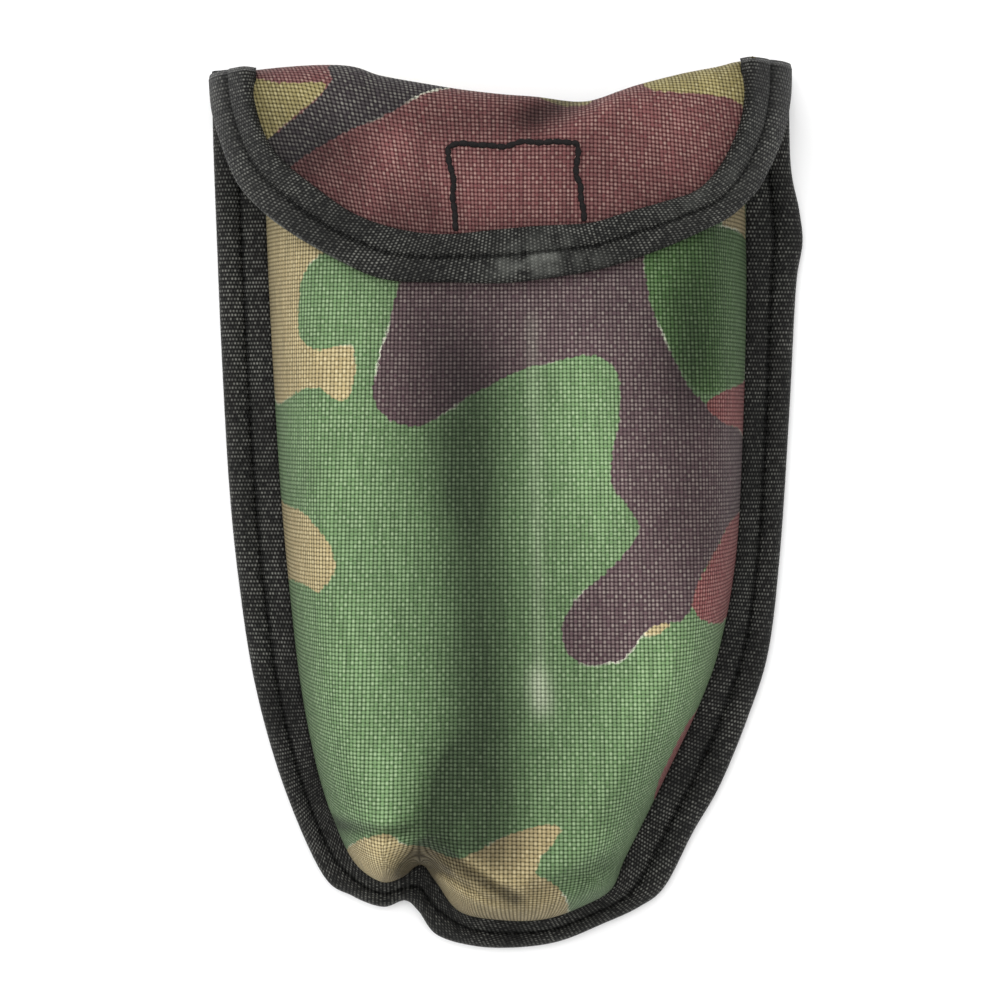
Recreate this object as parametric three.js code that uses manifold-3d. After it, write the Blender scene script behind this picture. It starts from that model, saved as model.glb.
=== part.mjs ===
// A folding camp shovel packed in its camouflage belt pouch, lying on the pouch's back.
// Millimetres. +X across, +Y towards the pouch's mouth, +Z up from the surface it lies on.
// The blade is folded over the shaft and the D-handle under it; hinges turn about X.

import * as THREE from 'three';
import { mergeVertices } from 'three/addons/utils/BufferGeometryUtils.js';
import Module from 'manifold-3d';

const wasm = await Module();
wasm.setup();

// ---- fits ----
const touch = 0.3; // between pieces that rest on each other or are sewn together
const running = 0.3; // round a pin, and beside a piece that turns
const past = 4; // how far a cutting body runs past what it cuts

// ---- cloth, tape and fastener ----
const cloth = 0.8;
const tape = 0.9;
const tapeWidth = 11.3; // what shows of the folded binding
const mouthTapeWidth = 6.5;
const patch = 0.7; // hook or loop fastener
const patchWidth = 32;
const patchHeight = 19;
const patchShift = 3; // the fastener is sewn a little right of the middle

// ---- shovel ----
const bladeWidth = 94;
const bladeReach = 156; // hinge to tip
const bladeRootReach = 10; // hinge to the blade's square end
const sheet = 1.5; // blade steel
const dish = 12.5; // how far the blade's rim lies below its crown
const tipDrop = 6; // how far the crown falls towards the tip
const toothCount = 9;
const toothDepth = 2.2;
const toothPitch = 5.5;
const shaftSpan = 134; // hinge to hinge
const shaftDiameter = 16;
const shaftWall = 1.5;
const hingeThickness = 8; // tongue of either hinge
const earThickness = 2.4;
const hingeRadius = 6.5;
const hingeLift = 4; // blade hinge above the shaft's axis
const pinRadius = 2.5;
const pinHead = 1.2;
const pinHeadRadius = 4.2;
const rivetRadius = 1.5;
const rivetHeadRadius = 3;
const rivetHead = 0.7;
const spigotLength = 12;
const collarWall = 3;
const collarLength = 16;
const collarTravel = 7.5;
const collarFlutes = 12;
const fluteRadius = 1.2;
const washer = 1.5;
const bracketSheet = 1.5;
const bracketWidth = 20;
const earReach = 13; // how far the bracket's ears run down the blade
const rodDiameter = 8; // the D-handle's bent steel rod
const handleReach = 131; // hinge to the middle of the grip
const handleSpread = 76; // rod to rod at the grip
const throatLength = 15;
const gripLength = 50;
const gripDepth = 17; // along the handle
const gripHeight = 10.4;
const screwRadius = 1.1;
const screwHeadRadius = 1.7;
const screwHead = 0.8;

// ---- pouch, cut to hold the folded shovel ----
const sideEase = 10.7; // blade's edge to the binding, at the mouth
const tipEase = 8; // blade's tip to the binding
const headEase = 25.2; // hinge to the fold over the mouth
const mouthSetback = 11; // fold to the mouth's edge
const waistDrop = 6.5; // how much narrower each side is where the round end starts
const waistShare = 0.39; // where the round end starts, as a share of the length
const wallRun = 10; // how far in the stuffed front reaches its full height
const crownEase = 2; // blade's crown to the inside of the front
const flapReach = 51; // fold to the flap's lowest edge
const flapWallRun = mouthSetback - 3; // how far in the flap reaches its full height
const squareTop = wallRun + 4; // straight stretch of the sides below the top corners
const loopWidth = 38;
const loopLength = 85;

// ---- levels, from the surface up ----
const backLow = tape + touch;
const backHigh = backLow + cloth;
const flangeLow = backHigh + touch;
const flangeHigh = flangeLow + cloth;
const bindingHigh = flangeHigh + touch + tape;
const rodLevel = backHigh + 1.4 + rodDiameter / 2;
const shaftRadius = shaftDiameter / 2;
const shaftLevel = rodLevel + rodDiameter / 2 + 0.6 + shaftRadius;
const bladeHingeLevel = shaftLevel + hingeLift;
const midHingeLevel = (shaftLevel + rodLevel) / 2;
const collarRadius = shaftRadius + collarWall;
const bracketLow = shaftLevel + collarRadius + touch;
const bracketHigh = bracketLow + bracketSheet;
const crown = bracketHigh + touch + sheet;
const frontHigh = crown + crownEase + cloth;
const flapLow = frontHigh + 3 * touch + 2 * patch;
const flapHigh = flapLow + cloth;

// ---- plan ----
const pouchLength = tapeWidth + tipEase + bladeReach + hingeRadius + headEase;
const foldY = pouchLength / 2;
const bottomY = -foldY;
const mouthHalf = bladeWidth / 2 + sideEase + tapeWidth;
const waistHalf = mouthHalf - waistDrop;
const waistY = bottomY + waistShare * pouchLength;
const mouthY = foldY - mouthSetback;
const backTopY = foldY - cloth - touch;
const tipY = bottomY + tapeWidth + tipEase;
const bladeHingeY = tipY + bladeReach;
const midHingeY = bladeHingeY - shaftSpan;
const gripY = midHingeY + handleReach;
const tubeTopY = bladeHingeY - 20;
const tubeLowY = midHingeY + 12;
const collarTopY = tubeTopY;
const collarLowY = collarTopY - collarLength;
const rivetRows = [bladeHingeY - earReach - 3.5, collarLowY - collarTravel - washer - touch - 4.5];
const rivetColumn = 6;
const bracketEndY = rivetRows[1] - 5;

// ---- solids: joining, cutting and placing ----
function solid(geometry) {
  const bare = geometry.clone();
  bare.deleteAttribute('normal');
  bare.deleteAttribute('uv');
  const merged = mergeVertices(bare, 1e-4);
  return new wasm.Manifold(
    new wasm.Mesh({
      numProp: 3,
      vertProperties: new Float32Array(merged.attributes.position.array),
      triVerts: new Uint32Array(merged.index.array),
    }),
  );
}

function geometryOf(manifold) {
  const mesh = manifold.getMesh();
  const geometry = new THREE.BufferGeometry();
  geometry.setAttribute('position', new THREE.BufferAttribute(mesh.vertProperties, 3));
  geometry.setIndex(new THREE.BufferAttribute(mesh.triVerts, 1));
  geometry.computeVertexNormals();
  return geometry;
}

function block(x0, x1, y0, y1, z0, z1) {
  const box = new THREE.BoxGeometry(x1 - x0, y1 - y0, z1 - z0);
  return solid(box.translate((x0 + x1) / 2, (y0 + y1) / 2, (z0 + z1) / 2));
}

// a plan shape, upright from z0 to z1
function prism(shape, z0, z1) {
  const flat = new THREE.ExtrudeGeometry(shape, {
    depth: z1 - z0,
    bevelEnabled: false,
    curveSegments: 14,
  });
  return solid(flat.translate(0, 0, z0));
}

// a side shape of (Y, Z) points, from x0 to x1
function plate(shape, x0, x1) {
  const side = new THREE.ExtrudeGeometry(shape, {
    depth: x1 - x0,
    bevelEnabled: false,
    curveSegments: 9,
  });
  const axes = new THREE.Matrix4().makeBasis(
    new THREE.Vector3(0, 1, 0),
    new THREE.Vector3(0, 0, 1),
    new THREE.Vector3(1, 0, 0),
  );
  return solid(side.applyMatrix4(axes).translate(x0, 0, 0));
}

function rodX(radius, x0, x1, y, z, sides = 16) {
  const rod = new THREE.CylinderGeometry(radius, radius, x1 - x0, sides).rotateZ(-Math.PI / 2);
  return solid(rod.translate((x0 + x1) / 2, y, z));
}

function rodY(radius, y0, y1, z, sides = 24) {
  const rod = new THREE.CylinderGeometry(radius, radius, y1 - y0, sides);
  return solid(rod.translate(0, (y0 + y1) / 2, z));
}

function rodZ(radius, x, y, z0, z1, sides = 14) {
  const rod = new THREE.CylinderGeometry(radius, radius, z1 - z0, sides).rotateX(Math.PI / 2);
  return solid(rod.translate(x, y, (z0 + z1) / 2));
}

function polygon(points) {
  return new THREE.Shape(points.map(([x, y]) => new THREE.Vector2(x, y)));
}

function disc(y, z, radius) {
  const shape = new THREE.Shape();
  shape.absarc(y, z, radius, 0, 2 * Math.PI);
  return shape;
}

// a drawn shape as plain points, with none where two of its curves meet given twice
function tidyShape(shape) {
  const points = shape.getPoints(12);
  const apart = points.filter((p, i) => p.distanceTo(points[(i + 1) % points.length]) > 1e-3);
  return new THREE.Shape(apart);
}

// ---- outline of the pouch, its sides drawn in and its end round ----
function pouchShape(inset, topY) {
  const half = mouthHalf - inset;
  const waist = waistHalf - inset;
  const squareY = topY - squareTop;
  const shape = new THREE.Shape();
  shape.moveTo(-half, topY);
  shape.lineTo(-half, squareY);
  shape.quadraticCurveTo(-half, (squareY + waistY) / 2, -waist, waistY);
  shape.absellipse(0, waistY, waist, waistY - bottomY - inset, Math.PI, 2 * Math.PI, false);
  shape.quadraticCurveTo(half, (squareY + waistY) / 2, half, squareY);
  shape.lineTo(half, topY);
  return tidyShape(shape);
}

// height of the blade's outer face: level near the hinge, falling towards the tip
function crownAt(y) {
  const along = THREE.MathUtils.clamp((collarTopY - y) / (collarTopY - tipY), 0, 1);
  return crown - tipDrop * along ** 3;
}

// A stuffed form: upright sides to z1, then a quarter-ellipse edge up to a crown that
// follows the blade, `lift` above the blade's outer face.
function stuffed(shape, z0, z1, run, lift) {
  const form = new THREE.ExtrudeGeometry(shape, {
    depth: z1 - z0,
    bevelThickness: 1,
    bevelSize: run,
    bevelOffset: -run,
    bevelSegments: 4,
    curveSegments: 12,
  });
  const place = form.attributes.position;
  for (let i = 0; i < place.count; i++) {
    const over = place.getZ(i) - (z1 - z0);
    const high = over > 0 ? over * (crownAt(place.getY(i)) + lift - z1) : over;
    place.setZ(i, z1 + high);
  }
  const under = block(-2 * mouthHalf, 2 * mouthHalf, 2 * bottomY, 2 * foldY, z0 - 2, z0);
  return solid(form).subtract(under);
}

// ---- pouch ----
const wide = 2 * mouthHalf;
const tall = 2 * flapHigh;
const frontLift = crownEase + cloth;

// the outside (cloth 0) or inside of the stuffed front, moved outwards by `out`
function frontForm(out) {
  return stuffed(
    pouchShape(tapeWidth - out, mouthY + 2 * wallRun),
    flangeLow - past,
    flangeHigh,
    wallRun,
    frontLift + out,
  );
}

function frontShell(outer, inner) {
  return frontForm(outer).subtract(frontForm(inner));
}

function frontPanel() {
  const flange = prism(pouchShape(tape + touch, backTopY), flangeLow, flangeHigh);
  const cut = block(-wide, wide, mouthY, 2 * foldY, 0, tall);
  const under = block(-wide, wide, 2 * bottomY, 2 * foldY, -tall, flangeLow);
  return flange.subtract(frontForm(-cloth)).add(frontShell(0, -cloth).subtract(under)).subtract(cut);
}

function backPanel() {
  return prism(pouchShape(tape + touch, backTopY), backLow, backHigh);
}

function edgeBinding() {
  const all = prism(pouchShape(0, backTopY), 0, bindingHigh);
  const opening = prism(pouchShape(tapeWidth - touch, backTopY + past), -past, bindingHigh + past);
  const slot = prism(pouchShape(tape, backTopY + past), tape, bindingHigh - tape);
  const aboveMouth = block(-wide, wide, mouthY, 2 * foldY, flangeLow, bindingHigh + past);
  return all.subtract(opening).subtract(slot).subtract(aboveMouth);
}

function mouthBinding() {
  const outside = touch + tape;
  const band = block(-wide, wide, mouthY - mouthTapeWidth, mouthY + outside, bindingHigh + touch, tall);
  const slot = block(-wide, wide, bottomY, mouthY + touch, 0, tall);
  const slotForm = frontShell(touch, -cloth - touch).intersect(slot);
  return frontShell(outside, -cloth - outside).intersect(band).subtract(slotForm);
}

function fastener(z0) {
  const highY = foldY - 18.5;
  return block(
    patchShift - patchWidth / 2,
    patchShift + patchWidth / 2,
    highY - patchHeight,
    highY,
    z0,
    z0 + patch,
  );
}

function beltLoop() {
  return block(-loopWidth / 2, loopWidth / 2, -loopLength / 2, loopLength / 2, 0, tape);
}

// ---- flap: carried over the mouth from the back, with a round lower edge ----
function flapForm(out) {
  return stuffed(
    pouchShape(touch + cloth - out, foldY - cloth + out),
    backLow,
    bindingHigh + touch - out,
    flapWallRun,
    flapLow - crown + out,
  );
}

function flapShape(inset) {
  const half = mouthHalf - inset;
  const lowY = foldY - flapReach + inset;
  const shape = new THREE.Shape();
  shape.moveTo(-half, 2 * foldY);
  shape.lineTo(-half, foldY - 9);
  shape.bezierCurveTo(-half, lowY + 14, -half / 2, lowY, 0, lowY);
  shape.bezierCurveTo(half / 2, lowY, half, lowY + 14, half, foldY - 9);
  shape.lineTo(half, 2 * foldY);
  return tidyShape(shape);
}

function flapShell(outer, inner, inset) {
  const sides = block(-wide, wide, bottomY, backTopY + touch, -past, bindingHigh + touch);
  return flapForm(outer)
    .subtract(flapForm(inner))
    .intersect(prism(flapShape(inset), -past, tall))
    .subtract(sides);
}

function flapPanel() {
  return flapShell(cloth, 0, tape + touch);
}

function flapBinding() {
  const face = touch + tape;
  const hem = block(-wide, wide, backTopY - 1, 2 * foldY, -past, tall);
  const open = prism(flapShape(tapeWidth), -past, tall);
  const slot = flapShell(cloth + touch, -touch, tape);
  return flapShell(cloth + face, -face, 0).subtract(slot).subtract(open).subtract(hem);
}

// ---- shaft ----
function shaftTube() {
  const bore = shaftRadius - shaftWall;
  return rodY(shaftRadius, tubeLowY, tubeTopY, shaftLevel)
    .subtract(rodY(bore, tubeLowY - past, tubeTopY + past, shaftLevel))
    .subtract(crossHole(tubeTopY))
    .subtract(crossHole(tubeLowY));
}

// the rivet through the tube's end and the spigot in it
function rivetPlace(endY) {
  return endY === tubeTopY ? endY - spigotLength / 2 : endY + spigotLength / 2;
}

function crossHole(endY) {
  const radius = rivetRadius + running;
  return rodX(radius, -shaftDiameter, shaftDiameter, rivetPlace(endY), shaftLevel, 12);
}

function shaftHead() {
  const spigot = rodY(
    shaftRadius - shaftWall - touch,
    tubeTopY - spigotLength,
    tubeTopY + touch + 1,
    shaftLevel,
  );
  const neckY = bladeHingeY - hingeRadius - 5;
  const neck = rodY(shaftRadius, tubeTopY + touch, neckY, shaftLevel);
  const tongue = polygon([
    [neckY - 3, shaftLevel - 6],
    [bladeHingeY, bladeHingeLevel - hingeRadius],
    [bladeHingeY, bladeHingeLevel + hingeRadius],
    [neckY - 3, shaftLevel + 7],
  ]);
  const half = hingeThickness / 2;
  return spigot
    .add(neck)
    .add(plate(tongue, -half, half))
    .add(plate(disc(bladeHingeY, bladeHingeLevel, hingeRadius), -half, half))
    .subtract(rodX(pinRadius + running, -past - half, past + half, bladeHingeY, bladeHingeLevel))
    .subtract(crossHole(tubeTopY));
}

function headRivet() {
  const end = shaftRadius - 0.1;
  return rodX(rivetRadius, -end, end, rivetPlace(tubeTopY), shaftLevel, 12);
}

function clevisRivet() {
  const side = shaftRadius + touch;
  const y = rivetPlace(tubeLowY);
  return rodX(rivetRadius, -side - rivetHead, side + rivetHead, y, shaftLevel, 12)
    .add(rodX(rivetHeadRadius, side, side + rivetHead, y, shaftLevel, 12))
    .add(rodX(rivetHeadRadius, -side - rivetHead, -side, y, shaftLevel, 12));
}

function hingePin(y, z) {
  const side = hingeThickness / 2 + running + earThickness + touch;
  return rodX(pinRadius, -side - pinHead, side + pinHead, y, z)
    .add(rodX(pinHeadRadius, side, side + pinHead, y, z))
    .add(rodX(pinHeadRadius, -side - pinHead, -side, y, z));
}

// two ears, one each side of a hinge's tongue
function pairOfEars(shape) {
  const inner = hingeThickness / 2 + running;
  const outer = inner + earThickness;
  return plate(shape, inner, outer).add(plate(shape, -outer, -inner));
}

function midClevis() {
  const faceY = midHingeY + hingeRadius + 0.5;
  const rootY = tubeLowY - touch;
  const ear = polygon([
    [rootY, shaftLevel - shaftRadius + 0.3],
    [rootY, shaftLevel + 6],
    [faceY, shaftLevel + 6],
    [midHingeY - hingeRadius * Math.cos(Math.PI / 3), midHingeLevel + hingeRadius * Math.sin(Math.PI / 3)],
    [midHingeY, midHingeLevel - 1],
    [midHingeY + hingeRadius - 0.5, shaftLevel - shaftRadius + 0.3],
  ]);
  return rodY(shaftRadius, faceY, rootY, shaftLevel)
    .add(rodY(shaftRadius - shaftWall - touch, rootY - 1, tubeLowY + spigotLength, shaftLevel))
    .add(pairOfEars(ear))
    .add(pairOfEars(disc(midHingeY, midHingeLevel, hingeRadius)))
    .subtract(rodX(pinRadius + running, -shaftDiameter, shaftDiameter, midHingeY, midHingeLevel))
    .subtract(crossHole(tubeLowY));
}

// ---- locking collar and its washer ----
function collarWasher() {
  const top = collarLowY - touch;
  return rodY(collarRadius - 0.6, top - washer, top, shaftLevel).subtract(
    rodY(shaftRadius + running, top - washer - past, top + past, shaftLevel),
  );
}

function lockingCollar() {
  let collar = rodY(collarRadius, collarLowY, collarTopY, shaftLevel, 36);
  for (let i = 0; i < collarFlutes; i++) {
    const turn = ((i + 0.5) * 2 * Math.PI) / collarFlutes;
    const flute = new THREE.CylinderGeometry(fluteRadius, fluteRadius, collarLength - 4, 8);
    const reach = collarRadius + fluteRadius / 2;
    flute.translate(reach * Math.cos(turn), (collarLowY + collarTopY) / 2, shaftLevel + reach * Math.sin(turn));
    collar = collar.subtract(solid(flute));
  }
  return collar.subtract(
    rodY(shaftRadius + running, collarLowY - past, collarTopY + past, shaftLevel),
  );
}

// ---- blade ----
function bladeShape() {
  const half = bladeWidth / 2;
  const rootY = bladeHingeY - bladeRootReach;
  const shoulderY = rootY - 16;
  const shape = new THREE.Shape();
  shape.moveTo(-half * 0.62, rootY);
  shape.quadraticCurveTo(-half, rootY, -half, shoulderY);
  for (let i = 0; i < toothCount; i++) {
    const y = shoulderY - 8 - i * toothPitch;
    shape.lineTo(-half, y);
    shape.lineTo(-half + toothDepth, y - toothPitch * 0.75);
  }
  const bellyY = shoulderY - 8 - toothCount * toothPitch - 3;
  shape.lineTo(-half, bellyY);
  shape.quadraticCurveTo(-half * 0.97, tipY + 24, 0, tipY);
  shape.quadraticCurveTo(half * 0.97, tipY + 24, half, bellyY);
  shape.lineTo(half, shoulderY);
  shape.quadraticCurveTo(half, rootY, half * 0.62, rootY);
  return tidyShape(shape);
}

function dishAt(x) {
  return dish * Math.abs((2 * x) / bladeWidth) ** 2.2;
}

// a sheet that follows the blade's dish, its upper face `below` the blade's outer face
function dishedSheet(width, y0, y1, thickness, below, across, along) {
  const flat = new THREE.BoxGeometry(width, y1 - y0, thickness, across, along, 1);
  flat.translate(0, (y0 + y1) / 2, -thickness / 2);
  const place = flat.attributes.position;
  for (let i = 0; i < place.count; i++) {
    const top = crownAt(place.getY(i)) - dishAt(place.getX(i)) - below;
    place.setZ(i, place.getZ(i) + top);
  }
  return solid(flat);
}

function eachRivet(cut) {
  return rivetRows.flatMap((y) => [-rivetColumn, rivetColumn].map((x) => cut(x, y)));
}

function withRivetHoles(piece) {
  const holes = eachRivet((x, y) => rodZ(rivetRadius + running, x, y, 0, tall));
  return holes.reduce((left, hole) => left.subtract(hole), piece);
}

function blade() {
  const rootY = bladeHingeY - bladeRootReach;
  const pressed = dishedSheet(bladeWidth + 2, tipY - 1, rootY + 1, sheet, 0, 10, 10);
  return withRivetHoles(pressed.intersect(prism(bladeShape(), 0, tall)));
}

function bladeBracket() {
  const below = sheet + touch;
  const web = dishedSheet(bracketWidth, bracketEndY, bladeHingeY, bracketSheet, below, 2, 4);
  const ear = polygon([
    [bladeHingeY - hingeRadius, bladeHingeLevel],
    [bladeHingeY + hingeRadius, bladeHingeLevel],
    [bladeHingeY + hingeRadius * 0.6, bracketLow + 0.5],
    [bladeHingeY - earReach, bracketLow + 0.5],
    [bladeHingeY - earReach, bracketLow - 1],
  ]);
  const ears = pairOfEars(ear).add(pairOfEars(disc(bladeHingeY, bladeHingeLevel, hingeRadius)));
  const bore = rodX(pinRadius + running, -shaftDiameter, shaftDiameter, bladeHingeY, bladeHingeLevel);
  return withRivetHoles(web.add(ears).subtract(bore));
}

function bracketRivet(x, y) {
  const face = crownAt(y) - dishAt(x);
  const under = face - sheet - touch - bracketSheet;
  return rodZ(rivetRadius, x, y, under - touch - rivetHead, face + touch + rivetHead)
    .add(rodZ(rivetHeadRadius, x, y, face + touch, face + touch + rivetHead))
    .add(rodZ(rivetHeadRadius - 0.5, x, y, under - touch - rivetHead, under - touch));
}

// ---- handle ----
function handleThroat() {
  const startY = midHingeY + hingeRadius + 2.2;
  const endY = startY + throatLength;
  const low = rodLevel - rodDiameter / 2;
  const high = rodLevel + rodDiameter / 2;
  const body = polygon([
    [-9, startY],
    [9, startY],
    [15, endY],
    [-15, endY],
  ]);
  const bar = polygon([
    [midHingeY - 5, midHingeLevel - 2.5],
    [midHingeY + 1, low],
    [startY + 1, low],
    [startY + 1, high],
    [midHingeY + 5, high],
    [midHingeY + 5, midHingeLevel],
  ]);
  const half = hingeThickness / 2;
  return prism(body, low, high)
    .add(plate(bar, -half, half))
    .add(plate(disc(midHingeY, midHingeLevel, hingeRadius - 0.5), -half, half))
    .subtract(rodX(pinRadius + running, -past - half, past + half, midHingeY, midHingeLevel));
}

function handleFrame() {
  const weldY = midHingeY + hingeRadius + 2.2 + throatLength + touch;
  const half = handleSpread / 2;
  const bend = 13;
  const start = new THREE.Vector3(-8.5, weldY - 6, rodLevel);
  const corner = new THREE.Vector3(-half, gripY, rodLevel);
  const armEnd = corner.clone().lerp(start, bend / corner.distanceTo(start));
  const barEnd = new THREE.Vector3(-half + bend, gripY, rodLevel);
  const mirror = (p) => new THREE.Vector3(-p.x, p.y, p.z);
  const path = new THREE.CurvePath();
  path.add(new THREE.LineCurve3(start, armEnd));
  path.add(new THREE.QuadraticBezierCurve3(armEnd, corner, barEnd));
  path.add(new THREE.LineCurve3(barEnd, mirror(barEnd)));
  path.add(new THREE.QuadraticBezierCurve3(mirror(barEnd), mirror(corner), mirror(armEnd)));
  path.add(new THREE.LineCurve3(mirror(armEnd), mirror(start)));
  const rod = new THREE.ExtrudeGeometry(disc(0, 0, rodDiameter / 2), {
    steps: 30,
    extrudePath: path,
    curveSegments: 5,
  });
  return solid(rod).subtract(block(-wide, wide, bottomY, weldY, 0, tall));
}

function gripHalf(side) {
  const section = new THREE.Shape();
  section.absellipse(gripY, rodLevel, gripDepth / 2, gripHeight / 2, 0, 2 * Math.PI);
  const half = gripLength / 2;
  const low = side > 0 ? rodLevel + touch / 2 : 0;
  const high = side > 0 ? tall : rodLevel - touch / 2;
  let shell = plate(section, -half, half)
    .intersect(block(-wide, wide, 0, foldY, low, high))
    .subtract(rodX(rodDiameter / 2 + touch, -wide, wide, gripY, rodLevel));
  for (const x of [-1, 1]) {
    shell = shell
      .subtract(rodZ(screwRadius + touch, screwX(x), screwY(), 0, tall))
      .subtract(rodZ(screwHeadRadius + touch, screwX(x), screwY(), screwSeat(), tall));
  }
  return shell;
}

function screwX(side) {
  return side * (gripLength / 2 - 7);
}

function screwY() {
  return gripY + (rodDiameter / 2 + touch + gripDepth / 2) / 2;
}

function screwSeat() {
  return rodLevel + gripHeight / 5;
}

function gripScrew(side) {
  const x = screwX(side);
  const head = screwSeat() + touch;
  return rodZ(screwRadius, x, screwY(), rodLevel - gripHeight / 4, head + screwHead).add(
    rodZ(screwHeadRadius, x, screwY(), head, head + screwHead),
  );
}

// ---- the object ----
const camouflage = new THREE.MeshStandardMaterial({ color: 0x69794f, roughness: 0.95 });
const webbing = new THREE.MeshStandardMaterial({ color: 0x2a2a27, roughness: 0.9 });
const hookAndLoop = new THREE.MeshStandardMaterial({ color: 0x2c2c2a, roughness: 1 });
const blackSteel = new THREE.MeshStandardMaterial({ color: 0x23252a, roughness: 0.5, metalness: 0.6 });
const brightSteel = new THREE.MeshStandardMaterial({ color: 0xa9abad, roughness: 0.35, metalness: 1 });
const moulding = new THREE.MeshStandardMaterial({ color: 0x1b1b1c, roughness: 0.7 });

const group = new THREE.Group();

function add(name, manifold, material) {
  const mesh = new THREE.Mesh(geometryOf(manifold), material);
  mesh.name = name;
  group.add(mesh);
}

add('back_panel', backPanel(), camouflage);
add('front_panel', frontPanel(), camouflage);
add('edge_binding', edgeBinding(), webbing);
add('mouth_binding', mouthBinding(), webbing);
add('belt_loop', beltLoop(), webbing);
add('loop_patch', fastener(frontHigh + touch), hookAndLoop);
add('flap_panel', flapPanel(), camouflage);
add('flap_binding', flapBinding(), webbing);
add('hook_patch', fastener(frontHigh + 2 * touch + patch), hookAndLoop);
add('shaft_tube', shaftTube(), blackSteel);
add('shaft_head', shaftHead(), blackSteel);
add('head_rivet', headRivet(), brightSteel);
add('blade_hinge_pin', hingePin(bladeHingeY, bladeHingeLevel), brightSteel);
add('mid_clevis', midClevis(), blackSteel);
add('clevis_rivet', clevisRivet(), brightSteel);
add('mid_hinge_pin', hingePin(midHingeY, midHingeLevel), brightSteel);
add('collar_washer', collarWasher(), brightSteel);
add('locking_collar', lockingCollar(), blackSteel);
add('blade', blade(), blackSteel);
add('blade_bracket', bladeBracket(), blackSteel);
eachRivet(bracketRivet).forEach((rivet, i) => add(`bracket_rivet_${i + 1}`, rivet, brightSteel));
add('handle_throat', handleThroat(), blackSteel);
add('handle_frame', handleFrame(), blackSteel);
add('grip_upper', gripHalf(1), moulding);
add('grip_lower', gripHalf(-1), moulding);
add('grip_screw_left', gripScrew(-1), brightSteel);
add('grip_screw_right', gripScrew(1), brightSteel);

export default group;
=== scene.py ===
"""A folding camp shovel packed in its camouflage belt pouch, seen from straight above."""

import math
import bpy
import numpy as np
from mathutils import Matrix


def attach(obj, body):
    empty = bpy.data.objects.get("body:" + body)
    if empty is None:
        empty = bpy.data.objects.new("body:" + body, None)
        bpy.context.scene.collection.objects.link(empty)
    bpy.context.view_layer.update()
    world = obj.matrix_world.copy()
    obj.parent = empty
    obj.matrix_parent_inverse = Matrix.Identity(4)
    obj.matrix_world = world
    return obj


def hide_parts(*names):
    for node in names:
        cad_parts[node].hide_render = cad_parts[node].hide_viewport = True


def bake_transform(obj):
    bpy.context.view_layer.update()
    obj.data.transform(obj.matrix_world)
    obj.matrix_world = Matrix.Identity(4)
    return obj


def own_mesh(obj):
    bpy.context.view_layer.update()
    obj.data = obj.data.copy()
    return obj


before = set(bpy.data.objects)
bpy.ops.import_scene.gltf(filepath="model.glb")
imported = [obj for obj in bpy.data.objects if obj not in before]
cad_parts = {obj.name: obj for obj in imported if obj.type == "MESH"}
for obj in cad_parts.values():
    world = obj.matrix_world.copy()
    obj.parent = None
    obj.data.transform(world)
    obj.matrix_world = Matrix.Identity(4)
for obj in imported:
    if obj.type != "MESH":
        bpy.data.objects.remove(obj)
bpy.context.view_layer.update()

# ---- Studio ----
# A plain white table under a big soft light, and a long lens straight above the pouch,
# a little right of and below its middle.
MM = 0.001
LENS = 100.0
SENSOR = 36.0
VIEW_WIDTH = 235 * MM
LOOK_AT = (-0.8 * MM, 0.6 * MM)
TAPE_LEVEL = 4 * MM

bpy.context.scene.view_settings.view_transform = "Standard"
camera_data = bpy.data.cameras.new("camera")
camera_data.lens = LENS
camera_data.sensor_width = SENSOR
camera = bpy.data.objects.new("camera", camera_data)
camera.location = (*LOOK_AT, TAPE_LEVEL + VIEW_WIDTH * LENS / SENSOR)
bpy.context.scene.collection.objects.link(camera)
bpy.context.scene.camera = camera


def area_light(name, place, target, size, power):
    """A square soft light of the given side, turned from its place to its target."""
    data = bpy.data.lights.new(name, "AREA")
    data.size = size
    data.energy = power
    light = bpy.data.objects.new(name, data)
    light.location = place
    aim = np.array(place) - np.array(target)
    light.rotation_euler = (math.acos(aim[2] / np.linalg.norm(aim)), 0,
                            math.atan2(aim[0], -aim[1]))
    bpy.context.scene.collection.objects.link(light)


area_light("overhead", (-0.22, 0.34, 1.0), (0, 0, 0), 1.3, 11.5)
area_light("side_left", (-1.1, -0.1, 0.55), (0, 0, 0), 0.7, 2.2)
area_light("side_right", (1.1, -0.3, 0.6), (0, 0, 0), 0.7, 1.8)
world = bpy.data.worlds.new("room")
world.use_nodes = True
world.node_tree.nodes["Background"].inputs["Color"].default_value = (1, 1, 1, 1)
world.node_tree.nodes["Background"].inputs["Strength"].default_value = 0.75
bpy.context.scene.world = world


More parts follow.
